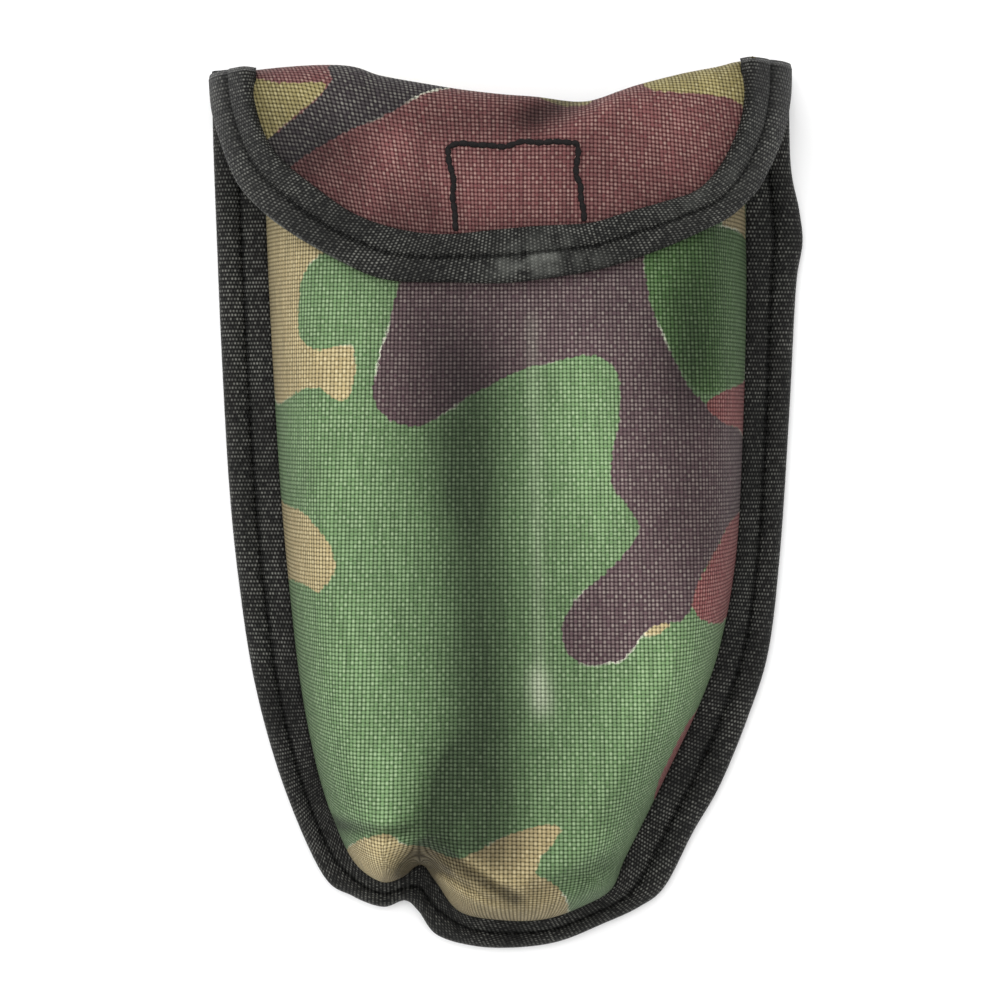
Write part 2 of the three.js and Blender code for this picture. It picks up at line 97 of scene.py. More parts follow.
class Finish:
    """One material: short calls that add a node, join its inputs and give its output."""

    def __init__(self, name, roughness, metallic=0.0, specular=0.5):
        self.material = bpy.data.materials.new(name)
        self.material.use_nodes = True
        self.tree = self.material.node_tree
        self.shader = self.tree.nodes["Principled BSDF"]
        fixed = {"Roughness": roughness, "Metallic": metallic, "Specular IOR Level": specular}
        for socket, value in fixed.items():
            self.shader.inputs[socket].default_value = value

    def node(self, kind, settings=None, **inputs):
        made = self.tree.nodes.new(kind)
        for key, value in (settings or {}).items():
            setattr(made, key, value)
        for key, value in inputs.items():
            socket = made.inputs[int(key[1:]) if key[1:].isdigit() else key.replace("_", " ")]
            if isinstance(value, bpy.types.Node):
                value = value.outputs[0]
            if isinstance(value, bpy.types.NodeSocket):
                self.tree.links.new(value, socket)
            else:
                socket.default_value = value
        return made

    def math(self, operation, first, second=0.0, third=0.0):
        settings = {"operation": operation}
        return self.node("ShaderNodeMath", settings, i0=first, i1=second, i2=third).outputs[0]

    def attribute(self, name):
        return self.node("ShaderNodeAttribute", {"attribute_name": name}).outputs["Fac"]

    def noise(self, scale, detail=2.0, stretch=(1, 1, 1), vector=None):
        place = vector or self.node("ShaderNodeTexCoord").outputs["Object"]
        laid = self.node("ShaderNodeMapping", Vector=place, Scale=stretch).outputs[0]
        return self.node("ShaderNodeTexNoise", Vector=laid, Scale=scale,
                         Detail=detail).outputs["Fac"]

    def span(self, value, low, high, to_low=0.0, to_high=1.0):
        """The value carried from low..high to to_low..to_high, and held at either end."""
        return self.node("ShaderNodeMapRange", Value=value, From_Min=low, From_Max=high,
                         To_Min=to_low, To_Max=to_high).outputs[0]

    def mix(self, amount, first, second, blend="MIX"):
        settings = {"data_type": "RGBA", "blend_type": blend}
        made = self.node("ShaderNodeMix", settings, i0=amount)
        for socket, value in ((6, first), (7, second)):
            if isinstance(value, bpy.types.NodeSocket):
                self.tree.links.new(value, made.inputs[socket])
            else:
                made.inputs[socket].default_value = (*value, 1)
        return made.outputs[2]

    def scaled(self, colour, factor):
        """The colour times a number."""
        grey = self.node("ShaderNodeCombineColor", Red=factor, Green=factor, Blue=factor)
        return self.mix(1.0, colour, grey.outputs[0], "MULTIPLY")

    def bump(self, height, distance, strength=1.0):
        return self.node("ShaderNodeBump", Height=height, Distance=distance,
                         Strength=strength).outputs[0]

    def finish(self, colour, normal=None, roughness=None):
        links = self.tree.links
        if isinstance(colour, bpy.types.NodeSocket):
            links.new(colour, self.shader.inputs["Base Color"])
        else:
            self.shader.inputs["Base Color"].default_value = (*colour, 1)
        if normal:
            links.new(normal, self.shader.inputs["Normal"])
        if roughness:
            links.new(roughness, self.shader.inputs["Roughness"])
        return self.material


def rgb(red, green, blue):
    """A colour seen as 0..255 values, as the linear numbers that a shader takes."""
    seen = np.array([red, green, blue]) / 255
    return tuple(np.where(seen < 0.04045, seen / 12.92, ((seen + 0.055) / 1.055) ** 2.4))


def grid_faces(rows, columns, around=False, backwards=False):
    """Quads of a grid whose vertices run row by row; around joins the last column to the first."""
    last = columns if around else columns - 1
    r, c = np.meshgrid(np.arange(rows - 1), np.arange(last), indexing="ij")
    right = (c + 1) % columns
    quads = np.stack([r * columns + c, r * columns + right, (r + 1) * columns + right,
                      (r + 1) * columns + c], -1).reshape(-1, 4)
    return quads[:, ::-1] if backwards else quads


def tube_faces(rows, columns, backwards=False):
    """Quads of a closed tube whose rings run row by row, with one face across either end."""
    ends = [list(range(columns))[::-1], list(range((rows - 1) * columns, rows * columns))]
    quads = grid_faces(rows, columns, around=True, backwards=backwards).tolist()
    return quads + ([end[::-1] for end in ends] if backwards else ends)


def mesh_piece(name, points, faces, material):
    """A new object at the origin from an array of points and a list or array of faces."""
    mesh = bpy.data.meshes.new(name)
    mesh.from_pydata(np.asarray(points, float).reshape(-1, 3).tolist(), [],
                     [list(map(int, face)) for face in faces])
    mesh.polygons.foreach_set("use_smooth", [True] * len(mesh.polygons))
    mesh.materials.append(material)
    mesh.update()
    piece = bpy.data.objects.new(name, mesh)
    bpy.context.scene.collection.objects.link(piece)
    return piece


table = Finish("white_table", 0.9, specular=0.1)
table_face = mesh_piece("table", [(-3, -3, 0), (3, -3, 0), (3, 3, 0), (-3, 3, 0)],
                        [(0, 1, 2, 3)], table.finish(table.scaled(
                            (0.93, 0.93, 0.93), table.span(table.noise(3), 0, 1, 0.99, 1.01))))

# ---- Front of the pouch ----
# One panel of coarse plain-weave polyester, printed in four-colour camouflage and sewn to the
# back round its edge. The folded shovel stuffs it: it stands steeply at the tape and lies
# over the blade's crown, with soft crests along the blade's two edges.
YARN = 0.87 * MM
WEFT = 0.93 * MM
CLOTH = 0.8 * MM
POUCH_EDGE = [  # outer edge of the taped seam, from one mouth corner round to the other
    (-68.6, 101.5), (-68.3, 85), (-67.4, 61), (-66.4, 37), (-64.6, 5), (-62.2, -19), (-58.4, -43),
    (-51.8, -66.5), (-42.7, -87.3), (-35.6, -92.6), (-28.4, -95.2), (-23.2, -93.7),
    (-20.0, -96.2), (-15.6, -101.8), (-6.2, -104.5), (4, -104.7), (13.5, -103.2), (23.4, -99.2),
    (32, -95.2), (38, -90.3), (44.6, -77.6), (50.9, -66.6), (57.5, -50.6), (62.4, -34.7),
    (65.2, -10.7), (67.3, 21.3), (68.5, 45), (69.2, 54), (70.4, 61.5), (69.6, 69), (67.6, 80),
    (67.2, 101.5)]
TAPE_INSIDE = [  # inner edge of the tape, matched to the points above by its own run
    (-56.6, 101.5), (-56.2, 85), (-55.4, 61), (-54.2, 37), (-52.3, 5), (-50.2, -19), (-47.4, -43),
    (-43.4, -63), (-39.0, -76), (-34.6, -84.4), (-28.4, -88.6), (-23.4, -87.6),
    (-19.2, -84.8), (-15.8, -88.8), (-10.2, -95.6), (0.4, -97.6), (10.2, -97.2), (19.2, -94.0),
    (25.4, -90.2), (28.4, -83.4), (33.8, -72.6), (39.2, -61.4), (45.6, -47.8), (50.8, -33),
    (54.6, -10.7), (56.2, 21.3), (56.8, 45), (56.9, 54), (56.8, 61.5), (56.8, 69), (56.8, 80),
    (56.6, 101.5)]


def curve_through(points, count):
    """A smooth (Catmull-Rom) curve through the points, as count points evenly spaced in each
    of its stretches, so that two lists of points that match give curves that match."""
    p = np.asarray(points, float)
    p = np.vstack([2 * p[0] - p[1], p, 2 * p[-1] - p[-2]])
    at = np.linspace(0, len(points) - 1, count)
    i = np.minimum(at.astype(int), len(points) - 2)
    t = (at - i)[:, None]
    a, b, c, d = p[i], p[i + 1], p[i + 2], p[i + 3]
    return 0.5 * (2 * b + (c - a) * t + (2 * a - 5 * b + 4 * c - d) * t**2
                  + (3 * b - a - 3 * c + d) * t**3)


EDGE_POINTS = 900
edge_outer = curve_through(POUCH_EDGE, EDGE_POINTS)
edge_inner = curve_through(TAPE_INSIDE, EDGE_POINTS)


def near_edge(x, y, edge):
    """For each point: how far it lies from the edge curve, and the direction to it. The nearest
    point of the curve is found on the two stretches that meet at the nearest of its points."""
    place = np.stack([x.ravel(), y.ravel()], -1)
    reach = np.empty(len(place))
    toward = np.empty_like(place)
    block = 8000
    for start in range(0, len(place), block):
        part = place[start:start + block]
        best = ((edge[None] - part[:, None]) ** 2).sum(-1).argmin(1)
        gaps = []
        for step in (-1, 0):
            first = np.clip(best + step, 0, len(edge) - 2)
            run = edge[first + 1] - edge[first]
            share = ((part - edge[first]) * run).sum(-1) / np.maximum((run**2).sum(-1), 1e-9)
            gaps.append(edge[first] + np.clip(share, 0, 1)[:, None] * run - part)
        far = [np.hypot(*gap.T) for gap in gaps]
        reach[start:start + block] = np.minimum(*far)
        toward[start:start + block] = np.where((far[0] < far[1])[:, None], *gaps)
    toward /= np.maximum(reach, 1e-6)[:, None]
    return reach.reshape(x.shape), toward.reshape(*x.shape, 2)


def ridge(x, y, start, end, width, height):
    """A soft crest (or valley, if height is below 0) along a line, fading past its two ends."""
    start, end = np.array(start, float), np.array(end, float)
    run = end - start
    length = np.linalg.norm(run)
    along = ((x - start[0]) * run[0] + (y - start[1]) * run[1]) / length
    aside = ((x - start[0]) * run[1] - (y - start[1]) * run[0]) / length
    past_end = np.maximum(0, np.maximum(-along, along - length)) / (1.6 * width)
    return height * np.exp(-(aside / width) ** 2 - past_end**2)


SEAM_LEVEL = 4.6  # the cloth's foot at the tape, in millimetres
CROWN = 36.9
WALL = 12.5  # how far in from the tape the cloth has risen to its crown
BLADE_HIGH, BLADE_HALF, DISH = 34.6, 47.0, 12.5  # crown, half width, rim below crown
TIP_FROM, TIP_RUN, TIP_DROP = 51.8, 136, 6  # where the crown starts to fall, and by how much
SPARE_SKIN = 1.2  # cloth and play over the blade's steel
RIVET_CLEAR = 36.7
RIVETS = [(-6, 55.3), (6, 55.3), (-6, 22), (6, 22)]


def blade_back(x, y):
    """The folded blade's outer face: high - drop * f^3 - dish * |x / half|^2.2, f being the
    share of the way to the tip."""
    fall = np.clip((TIP_FROM - y) / TIP_RUN, 0, 1)
    return BLADE_HIGH - TIP_DROP * fall**3 - DISH * np.clip(np.abs(x) / BLADE_HALF, 0, 1.1) ** 2.2


def blade_below(x, y):
    """The least height that clears the folded blade's dished back and its four rivet heads."""
    level = blade_back(x, y) + SPARE_SKIN
    for rivet_x, rivet_y in RIVETS:
        gap = (x - rivet_x) ** 2 + (y - rivet_y) ** 2
        level = np.maximum(level, RIVET_CLEAR - gap / 60)
    return level


FRONT_CRESTS = [  # each crest or valley: start, end, half width, height, all in millimetres
    ((-36, 36), (-32, -52), 9, 1.5), ((18, 30), (20, 8), 8, 1.7), ((23, 4), (32, -38), 10, 1.9),
    ((34, -40), (20, -64), 9, 0.9), ((-9, 30), (-4, -74), 9.5, -3.4), ((40, 45), (43, -8), 6, -1.3),
    ((-19, 36), (-14, 6), 7, -0.9), ((7.2, 42), (8.6, -42), 1.2, 0.25),
    ((-18.8, -83), (-12.5, -62), 4.5, -4.2), ((-29, -84), (-26, -62), 5, 2.0),
    ((-14, -82), (-3, -88.6), 1.6, 1.5), ((-12, -78.4), (3, -87), 1.5, 1.3),
    ((-13, -80), (0.5, -88), 1.1, -1.4), ((-15, -86), (-2, -91.5), 1.4, 1.5),
    ((-13.6, -84.4), (-2.4, -90.4), 1.0, -1.3), ((-40, -71), (-25, -71.5), 1.8, 1.3),
    ((-37, -74.6), (-23, -74.4), 1.6, -1.6), ((-16, -74.5), (-23, -77), 1.8, 1.4),
    ((4, -89), (22, -83), 3, -1.6), ((6, -83), (21, -77), 3.4, 0.8)]


def crests(x, y, lines):
    """The sum of a list of crests and valleys."""
    return sum(ridge(x, y, *line) for line in lines)


def crown_level(x, y):
    """The stuffed front's height: a low arch across that falls towards the blade's tip, with its
    crests and valleys, and never lower than the shovel inside it."""
    fall = np.clip((30 - y) / 120, 0, 1)
    under_flap = np.clip((y - 38) / 24, 0, 1)
    level = CROWN - 2.2 * (x / 50) ** 2 - 5.5 * fall**2.2 + crests(x, y, FRONT_CRESTS)
    level -= 4.8 * under_flap * np.abs(x / 50) ** 3
    spare = (level - blade_below(x, y)) / 0.5
    return blade_below(x, y) + 0.5 * np.logaddexp(0, spare)


rise_at = np.linspace(0, WALL, 300)
rise = np.sqrt(np.clip(1 - (1 - rise_at / WALL) ** 2.0, 0, 1)) * 0.88 + 0.12 * rise_at / WALL
wall_run = np.hypot(np.diff(rise_at), np.diff(rise) * (CROWN - SEAM_LEVEL)) - np.diff(rise_at)
wall_excess = np.append(np.cumsum(wall_run[::-1])[::-1], 0)


def front_level(x, y, reach):
    """The front's height: from the seam up a rounded wall to the crown."""
    share = np.interp(reach, rise_at, rise)
    return SEAM_LEVEL + (crown_level(x, y) - SEAM_LEVEL) * share


def four_sided(top, bottom, left, right):
    """A grid that fills four curves (a Coons patch): rows run from top to bottom."""
    rows, columns = len(left), len(top)
    v = np.linspace(0, 1, rows)[:, None, None]
    u = np.linspace(0, 1, columns)[None, :, None]
    ruled = (1 - v) * top[None] + v * bottom[None] + (1 - u) * left[:, None] + u * right[:, None]
    return ruled - ((1 - v) * ((1 - u) * top[0] + u * top[-1])
                    + v * ((1 - u) * bottom[0] + u * bottom[-1]))


def spaced(curve, count, ease=0.0):
    """count points spread evenly along a curve, or drawn towards its ends by ease."""
    step = np.append(0, np.cumsum(np.hypot(*np.diff(curve, axis=0).T)))
    t = np.linspace(0, 1, count)
    t = (1 - ease) * t + ease * (0.5 - 0.5 * np.cos(np.pi * t))
    return np.stack([np.interp(t * step[-1], step, curve[:, k]) for k in (0, 1)], -1)


ROWS, COLUMNS = 330, 250
seam = edge_inner.copy()
left_end = int(np.argmax(seam[:, 1] < -66))
right_end = len(seam) - int(np.argmax(seam[::-1, 1] < -62))
mouth_line = curve_through([(-56.4, 89.6), (-30, 85.4), (0, 81.4), (17, 80.6), (35, 84.6),
                            (56.6, 90)], 400)
first, last = int(np.argmax(seam[:, 1] < 89.6)), len(seam) - int(np.argmax(seam[::-1, 1] < 90))
front_plan = four_sided(
    spaced(mouth_line, COLUMNS, 0.6), spaced(seam[left_end:right_end], COLUMNS, 0.1),
    spaced(seam[first:left_end + 1], ROWS), spaced(seam[right_end - 1:last][::-1], ROWS))
fx, fy = front_plan[..., 0], front_plan[..., 1]
front_reach, front_toward = near_edge(fx, fy, edge_inner)
front_z = front_level(fx, fy, front_reach)

# The print: each colour is a few islands, given by points round them.
LEAF, TAN, PLUM, RUST = "leaf", "tan", "plum", "rust"
FRONT_PRINT = {
    TAN: [
        [(-59, 74), (-38, 68), (-33, 60), (-37.5, 57.4), (-42, 55), (-45.4, 50.5), (-46.4, 44),
         (-46.4, 38.8), (-44.6, 35.6), (-41.6, 34.2), (-37.4, 34.8), (-34.2, 35.2), (-33, 31.4),
         (-33.6, 26), (-35.4, 23), (-38.4, 23.4), (-41, 25.6), (-44.7, 25.6), (-59, 26.2)],
        [(-59, -1), (-51.3, -1.0), (-46.2, -2.1), (-42, -5.6), (-38.9, -9.5), (-37.7, -15.1),
         (-41.9, -20), (-46, -18.6), (-50.8, -18), (-59, -17)],
        [(50.9, 66), (59, 72), (61, 61.6), (53.6, 60.1), (50.6, 61.4)],
        [(-36.5, -79), (-30, -75.4), (-25.6, -74.6), (-22, -77.6), (-18.8, -78.7), (-12.2, -80.6),
         (-7.4, -79.4), (-3.1, -76.8), (2.4, -74.4), (8.6, -72.4), (13, -73.2), (10.6, -77),
         (8.4, -80), (7.5, -83.4), (10.4, -85.4), (13, -88.2), (15.6, -94.9), (13.3, -101),
         (-17.2, -101), (-29, -95), (-41, -86)],
        [(30.5, -28.4), (33.8, -26.2), (37.4, -26.8), (35.4, -28.9), (32.3, -29.8)]],
    LEAF: [[(33, 60), (31.8, 50), (34, 42), (38, 33), (44.6, 24.6), (54, 27), (60, 29), (62, 60)]],
    PLUM: [
        [(-22.4, 52), (-25.4, 41), (-27.6, 33), (-29.2, 25.1), (-27.4, 20.2), (-23.2, 17.4),
         (-18.3, 17.4), (-13.1, 20.1), (-8.2, 23.4), (-3.1, 26.2), (3.6, 29.4), (11.4, 31.4),
         (18.1, 32.8), (22.6, 31.8), (25.5, 28.6), (25.9, 19.5), (24.1, 10.6), (24.1, 3.9),
         (27.4, -0.6), (30.2, -5), (28.8, -9), (25, -13.4), (21.2, -17), (16.4, -21.2),
         (13.2, -27.4), (13.9, -33), (18.2, -36.3), (22.9, -36), (27.1, -34.9), (30.3, -30.7),
         (33.4, -27.6), (39.5, -26.4), (42.4, -23), (44.2, -17.4), (47.9, -11.9), (54.3, -4.1),
         (60, -6), (63, 0.6), (63, 21.7), (56, 17.4), (49.5, 18.9), (45.8, 22), (41.6, 26),
         (36.1, 36.4), (32.7, 45.3), (31.2, 54.7), (30, 64), (0, 66), (-19, 62)]],
    RUST: [
        [(45.8, 22), (50, 25), (55, 26.4), (64, 28), (64, 15), (56, 17), (49.5, 18.3)],
        [(54.3, -4.1), (47.9, -11.9), (44.2, -17.4), (42.4, -23), (45.6, -26.6), (54.3, -28),
         (63, -23), (64, -4.1)],
        [(46.1, -51), (42.9, -54.8), (41, -58.7), (38.1, -65.5), (40.2, -71), (52, -62),
         (54, -50)]]}


def islands(x, y, outlines):
    """Distance to the nearest island's edge in millimetres: above 0 inside, below 0 outside."""
    place = np.stack([x.ravel(), y.ravel()], -1)
    best = np.full(len(place), -99.0)
    for outline in outlines:
        ring = curve_through(outline + outline[:3], 8 * (len(outline) + 2) + 1)[8:-8]
        ring = ring[:8 * len(outline)]
        ahead = np.roll(ring, -1, 0)
        inside = np.zeros(len(place), bool)
        far = np.full(len(place), 1e9)
        for (x0, y0), (x1, y1) in zip(ring, ahead):
            crosses = (place[:, 1] < y0) != (place[:, 1] < y1)
            level = (place[:, 1] - y0) / (y1 - y0 if y1 != y0 else 1e-9)
            inside ^= crosses & (place[:, 0] < x0 + level * (x1 - x0))
            run = np.array([x1 - x0, y1 - y0])
            t = np.clip(((place - (x0, y0)) @ run) / max(run @ run, 1e-9), 0, 1)
            gap = place - (x0, y0) - t[:, None] * run
            far = np.minimum(far, (gap**2).sum(-1))
        best = np.maximum(best, np.where(inside, 1, -1) * np.sqrt(far))
    return best.reshape(x.shape)


def keep_values(piece, **values):
    """Stores named numbers, one for each vertex, for a material to read."""
    for name, value in values.items():
        layer = piece.data.attributes.new(name, "FLOAT", "POINT")
        layer.data.foreach_set("value", np.asarray(value, np.float32).ravel())


def keep_yarns(piece, across, along):
    """Stores the cloth's own coordinates, counted in yarns, as the piece's UV map."""
    layer = piece.data.uv_layers.new(name="Yarns")
    corner = np.empty(len(piece.data.loops), np.int64)
    piece.data.loops.foreach_get("vertex_index", corner)
    both = np.stack([np.ravel(across), np.ravel(along)], -1)[corner]
    layer.data.foreach_set("uv", both.astype(np.float32).ravel())


def plain_weave(finish):
    """Height of a plain weave, about -1 in the holes to 0.7 on the yarns' tops. u and v count
    yarns. A warp yarn is (|sin(pi u)| ** 0.8 - 1) across and rises and sinks along itself by
    0.6 * sin(pi v), in turn from one column to the next; a weft yarn is the same with u and v
    exchanged and the rise reversed; and the higher of the two is seen."""
    place = finish.node("ShaderNodeUVMap", {"uv_map": "Yarns"}).outputs[0]
    axes = finish.node("ShaderNodeSeparateXYZ", Vector=place)
    u, v = axes.outputs[0], axes.outputs[1]
    wave_u, wave_v = (finish.math("SINE", finish.math("MULTIPLY", part, math.pi))
                      for part in (u, v))
    yarns = []
    for own, other, sign, bias in ((wave_u, wave_v, 1, 0.12), (wave_v, wave_u, -1, 0)):
        side = finish.math("ABSOLUTE", own)
        turned = finish.math("MULTIPLY", finish.math("SIGN", own), other)
        rise = finish.math("MULTIPLY_ADD", turned, 0.6 * sign, bias - 1)
        yarns.append(finish.math("ADD", finish.math("POWER", side, 0.8), rise))
    height = finish.math("SMOOTH_MAX", yarns[0], yarns[1], 0.15)
    # a random number for each yarn crossing, which sets the brightness of the painted glints
    cell = finish.node("ShaderNodeCombineXYZ", X=finish.math("FLOOR", u), Y=finish.math("FLOOR", v))
    glint = finish.node("ShaderNodeTexWhiteNoise", {"noise_dimensions": "2D"}, Vector=cell)
    return height, glint.outputs[0], place


GREEN_DYE = rgb(86, 110, 74)
LEAF_DYE = rgb(66, 94, 52)
TAN_DYE = rgb(146, 132, 96)
PLUM_DYE = rgb(74, 58, 61)
RUST_DYE = rgb(114, 62, 62)
# a pale colour, for misprinted edges, rubbed wear and the painted highlights
CHALK = rgb(206, 208, 188)


def camouflage_cloth(name, base, layers):
    """Printed plain weave: islands of colour with edges that follow the yarns, painted shade in the
    gaps between yarns, painted highlights on the yarns' tops, slubs, painted light and shade from a
    per-vertex number (lighter on crests, darker in valleys, creases and next to the tape), and
    rubbed pale places where `worn` says."""
    made = Finish(name, 0.78, specular=0.16)
    height, glint, place = plain_weave(made)
    ragged = made.span(made.noise(900, 2.0), 0.3, 0.7, -0.35, 0.35)
    colour = base
    for island, dye in layers:
        edge = made.math("ADD", made.attribute(island), ragged)
        colour = made.mix(made.span(edge, -0.16, 0.16), colour, dye)
        missed = made.math("MULTIPLY", made.math("LESS_THAN", made.math("ABSOLUTE", edge), 0.26),
                           made.span(made.noise(60, 1.0), 0.55, 0.68, 0, 0.5))
        colour = made.mix(missed, colour, CHALK)
    cloudy = made.span(made.noise(45, 3.0), 0.3, 0.7, 0.92, 1.08)
    slub = made.noise(1.0, 1.0, vector=place, stretch=(0.9, 0.09, 1))
    slub = made.span(slub, 0.3, 0.7, 0.84, 1.16)
    # painted shade: the colour is darkened in the gaps and holes between the yarns, to a fiftieth
    # in the deepest, on top of random cloudy and slub tone
    tone_and_painted_shade = made.math("MULTIPLY", made.math("MULTIPLY", cloudy, slub),
                     made.span(height, -0.72, 0.4, 0.02, 1.08))
    # painted light and shade: a per-vertex number that lightens the cloth on its crests and darkens
    # it in its valleys, its creases and next to its tape
    handled = made.attribute("handled")
    tone_and_painted_shade = made.math("MULTIPLY", tone_and_painted_shade, made.span(handled, -1, 1, 0.28, 1.78))
    # painted highlights: pale glints on the yarns' tops, each crossing with its own brightness,
    # weaker where the painted shading is dark, mixed towards a pale lightened copy of the cloth's
    # colour
    shine = made.math("MULTIPLY", made.span(height, 0.15, 0.65), made.span(glint, 0, 1, 0.04, 0.6))
    shine = made.math("MULTIPLY", shine, made.span(handled, -0.8, 0.6, 0.22, 1.1))
    rubbed = made.math("MULTIPLY", made.attribute("worn"), made.span(height, -0.3, 0.5, 0.2, 0.75))
    yarn_highlight_colour = made.mix(0.45, made.scaled(colour, 2.6), CHALK)
    colour = made.mix(rubbed, made.mix(shine, made.scaled(colour, tone_and_painted_shade), yarn_highlight_colour), CHALK)
    normal = made.bump(height, 0.16 * MM, 0.9)
    return made.finish(colour, normal, made.span(height, -0.6, 0.5, 0.9, 0.55))


ALL_DYES = [(TAN, TAN_DYE), (LEAF, LEAF_DYE), (PLUM, PLUM_DYE), (RUST, RUST_DYE)]
front_cloth_finish = camouflage_cloth("camouflage_front", GREEN_DYE, ALL_DYES)
front_points = np.stack([fx, fy, front_z], -1) * MM
front_cloth = mesh_piece("front_cloth", front_points, grid_faces(ROWS, COLUMNS, backwards=True),
                         front_cloth_finish)
excess = np.interp(front_reach, rise_at, np.append(wall_excess[1:], 0))
cloth_x = fx + front_toward[..., 0] * excess
cloth_y = fy + front_toward[..., 1] * excess
print_x, print_y = fx + 0.3 * (cloth_x - fx), fy + 0.3 * (cloth_y - fy)
# painted shade: darker lines and patches where the folds, the pucker at the foot and the upper
# right corner fall in shade
PAINTED_SHADE_LINES = [((47, 66), (44, 34), 9, -0.75), ((-22, -84), (-13.5, -80), 3, -0.9),
           ((-12, -83), (2, -89.5), 1.5, -0.6), ((-38, -72.6), (-24, -73), 2.2, -0.5),
           ((0, -58), (4, -30), 12, -0.25), ((-2, 24), (-6, 4), 7, -0.2)]
# painted light and shade: lighter on the crests, darker in the valleys and along the lines above,
# and darker close to the tape
front_handled = (0.26 * crests(fx, fy, FRONT_CRESTS) - 0.8 * np.exp(-front_reach / 3.5)
                 + crests(fx, fy, PAINTED_SHADE_LINES) + 0.06)
WORN = [((6.4, 40), (8.2, -38), 1.5, 0.14), ((8.0, -41), (8.4, -44), 2.4, 0.5)]
keep_values(front_cloth, worn=crests(fx, fy, WORN), handled=np.clip(front_handled, -1, 1),
            **{key: islands(print_x, print_y, value) for key, value in FRONT_PRINT.items()})
FAN = 0.0008  # how fast the warp yarns spread apart down the front
keep_yarns(front_cloth, cloth_x * (1 - FAN * (40 - cloth_y)) * MM / YARN, cloth_y * MM / WEFT)


def thickness(piece, depth):
    """Gives a sheet its thickness, below its outer face."""
    solid = piece.modifiers.new("thickness", "SOLIDIFY")
    solid.thickness = depth
    solid.offset = -1


def pouch_piece(piece, body, slot, *nodes):
    """A cloth piece of the pouch: rides its body, and hides the nodes it stands for."""
    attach(piece, body)
    if nodes:
        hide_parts(*nodes)
    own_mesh(piece)


thickness(front_cloth, CLOTH)
pouch_piece(front_cloth, "pouch", "camouflage", "front_panel")

# ---- Binding tape round the pouch ----
# Black ribbed polypropylene tape, 22 mm wide, folded over the raw edge of both panels and
# stitched down its middle, so that each face shows two soft bands with a sewn groove between.
RIB = 0.95  # pitch of the tape's ribs, in millimetres
TAPE_SECTION = [  # share of the way in from the fold, and height above the tape's foot
    (1.00, 0.2), (0.6, 0.05), (0.06, 0.1), (0.0, 0.9), (-0.01, 2.0), (0.02, 3.2), (0.10, 4.0),
    (0.25, 4.45), (0.40, 4.3), (0.475, 3.75), (0.50, 3.5), (0.525, 3.75), (0.60, 4.4),
    (0.78, 5.0), (0.93, 5.2), (0.99, 4.95), (1.01, 4.4)]


def along_curve(curve):
    """How far along a curve each of its points lies."""
    return np.append(0, np.cumsum(np.sqrt((np.diff(curve, axis=0) ** 2).sum(-1))))


TAPE_SIDES = 60
PUCKER = 0.35  # how far the tape rises and sinks between its stitches


def folded_tape(name, outer, inner, level, section, material, sink=0):
    """A closed band between two matching curves, laid on the surface level(x, y). The section
    is a closed loop carried along them: its share moves a point from the outer curve to the
    inner one, and its height stands off along the surface's normal, with a slow waviness where
    the tape puckers between stitches. sink lowers each end, row by row, to tuck it under."""
    loop = curve_through(section + section[:1], TAPE_SIDES)[:-1]
    share, high = loop[:, 0][None], loop[:, 1][None]
    run = along_curve(outer)[:, None]
    plan = outer[:, None] + (inner - outer)[:, None] * share[..., None]
    ripple = (PUCKER * np.sin(run / 3.1 + 1.3 * np.sin(run / 17.0))
              * np.clip(high - 2.5, 0, 2) / 2)
    x, y = plan[..., 0], plan[..., 1]
    step = 0.5
    slope_x = (level(x + step, y) - level(x - step, y)) / (2 * step)
    slope_y = (level(x, y + step) - level(x, y - step)) / (2 * step)
    normal = np.stack([-slope_x, -slope_y, np.ones_like(x)], -1)
    normal /= np.linalg.norm(normal, axis=-1)[..., None]
    stand = high + ripple * (0.4 + 0.6 * share)
    points = np.concatenate([plan, (level(x, y) - sink)[..., None]], -1) + normal * stand[..., None]
    piece = mesh_piece(name, points * MM, tube_faces(*x.shape), material)
    section_run = along_curve(loop * (11.3, 1.0))[None]
    keep_yarns(piece, np.broadcast_to(run / RIB, x.shape),
               np.broadcast_to(section_run / RIB, x.shape))
    keep_values(piece, groove=np.broadcast_to(np.exp(-((share - 0.5) / 0.035) ** 2), x.shape),
                share=np.broadcast_to(share, x.shape))
    return piece


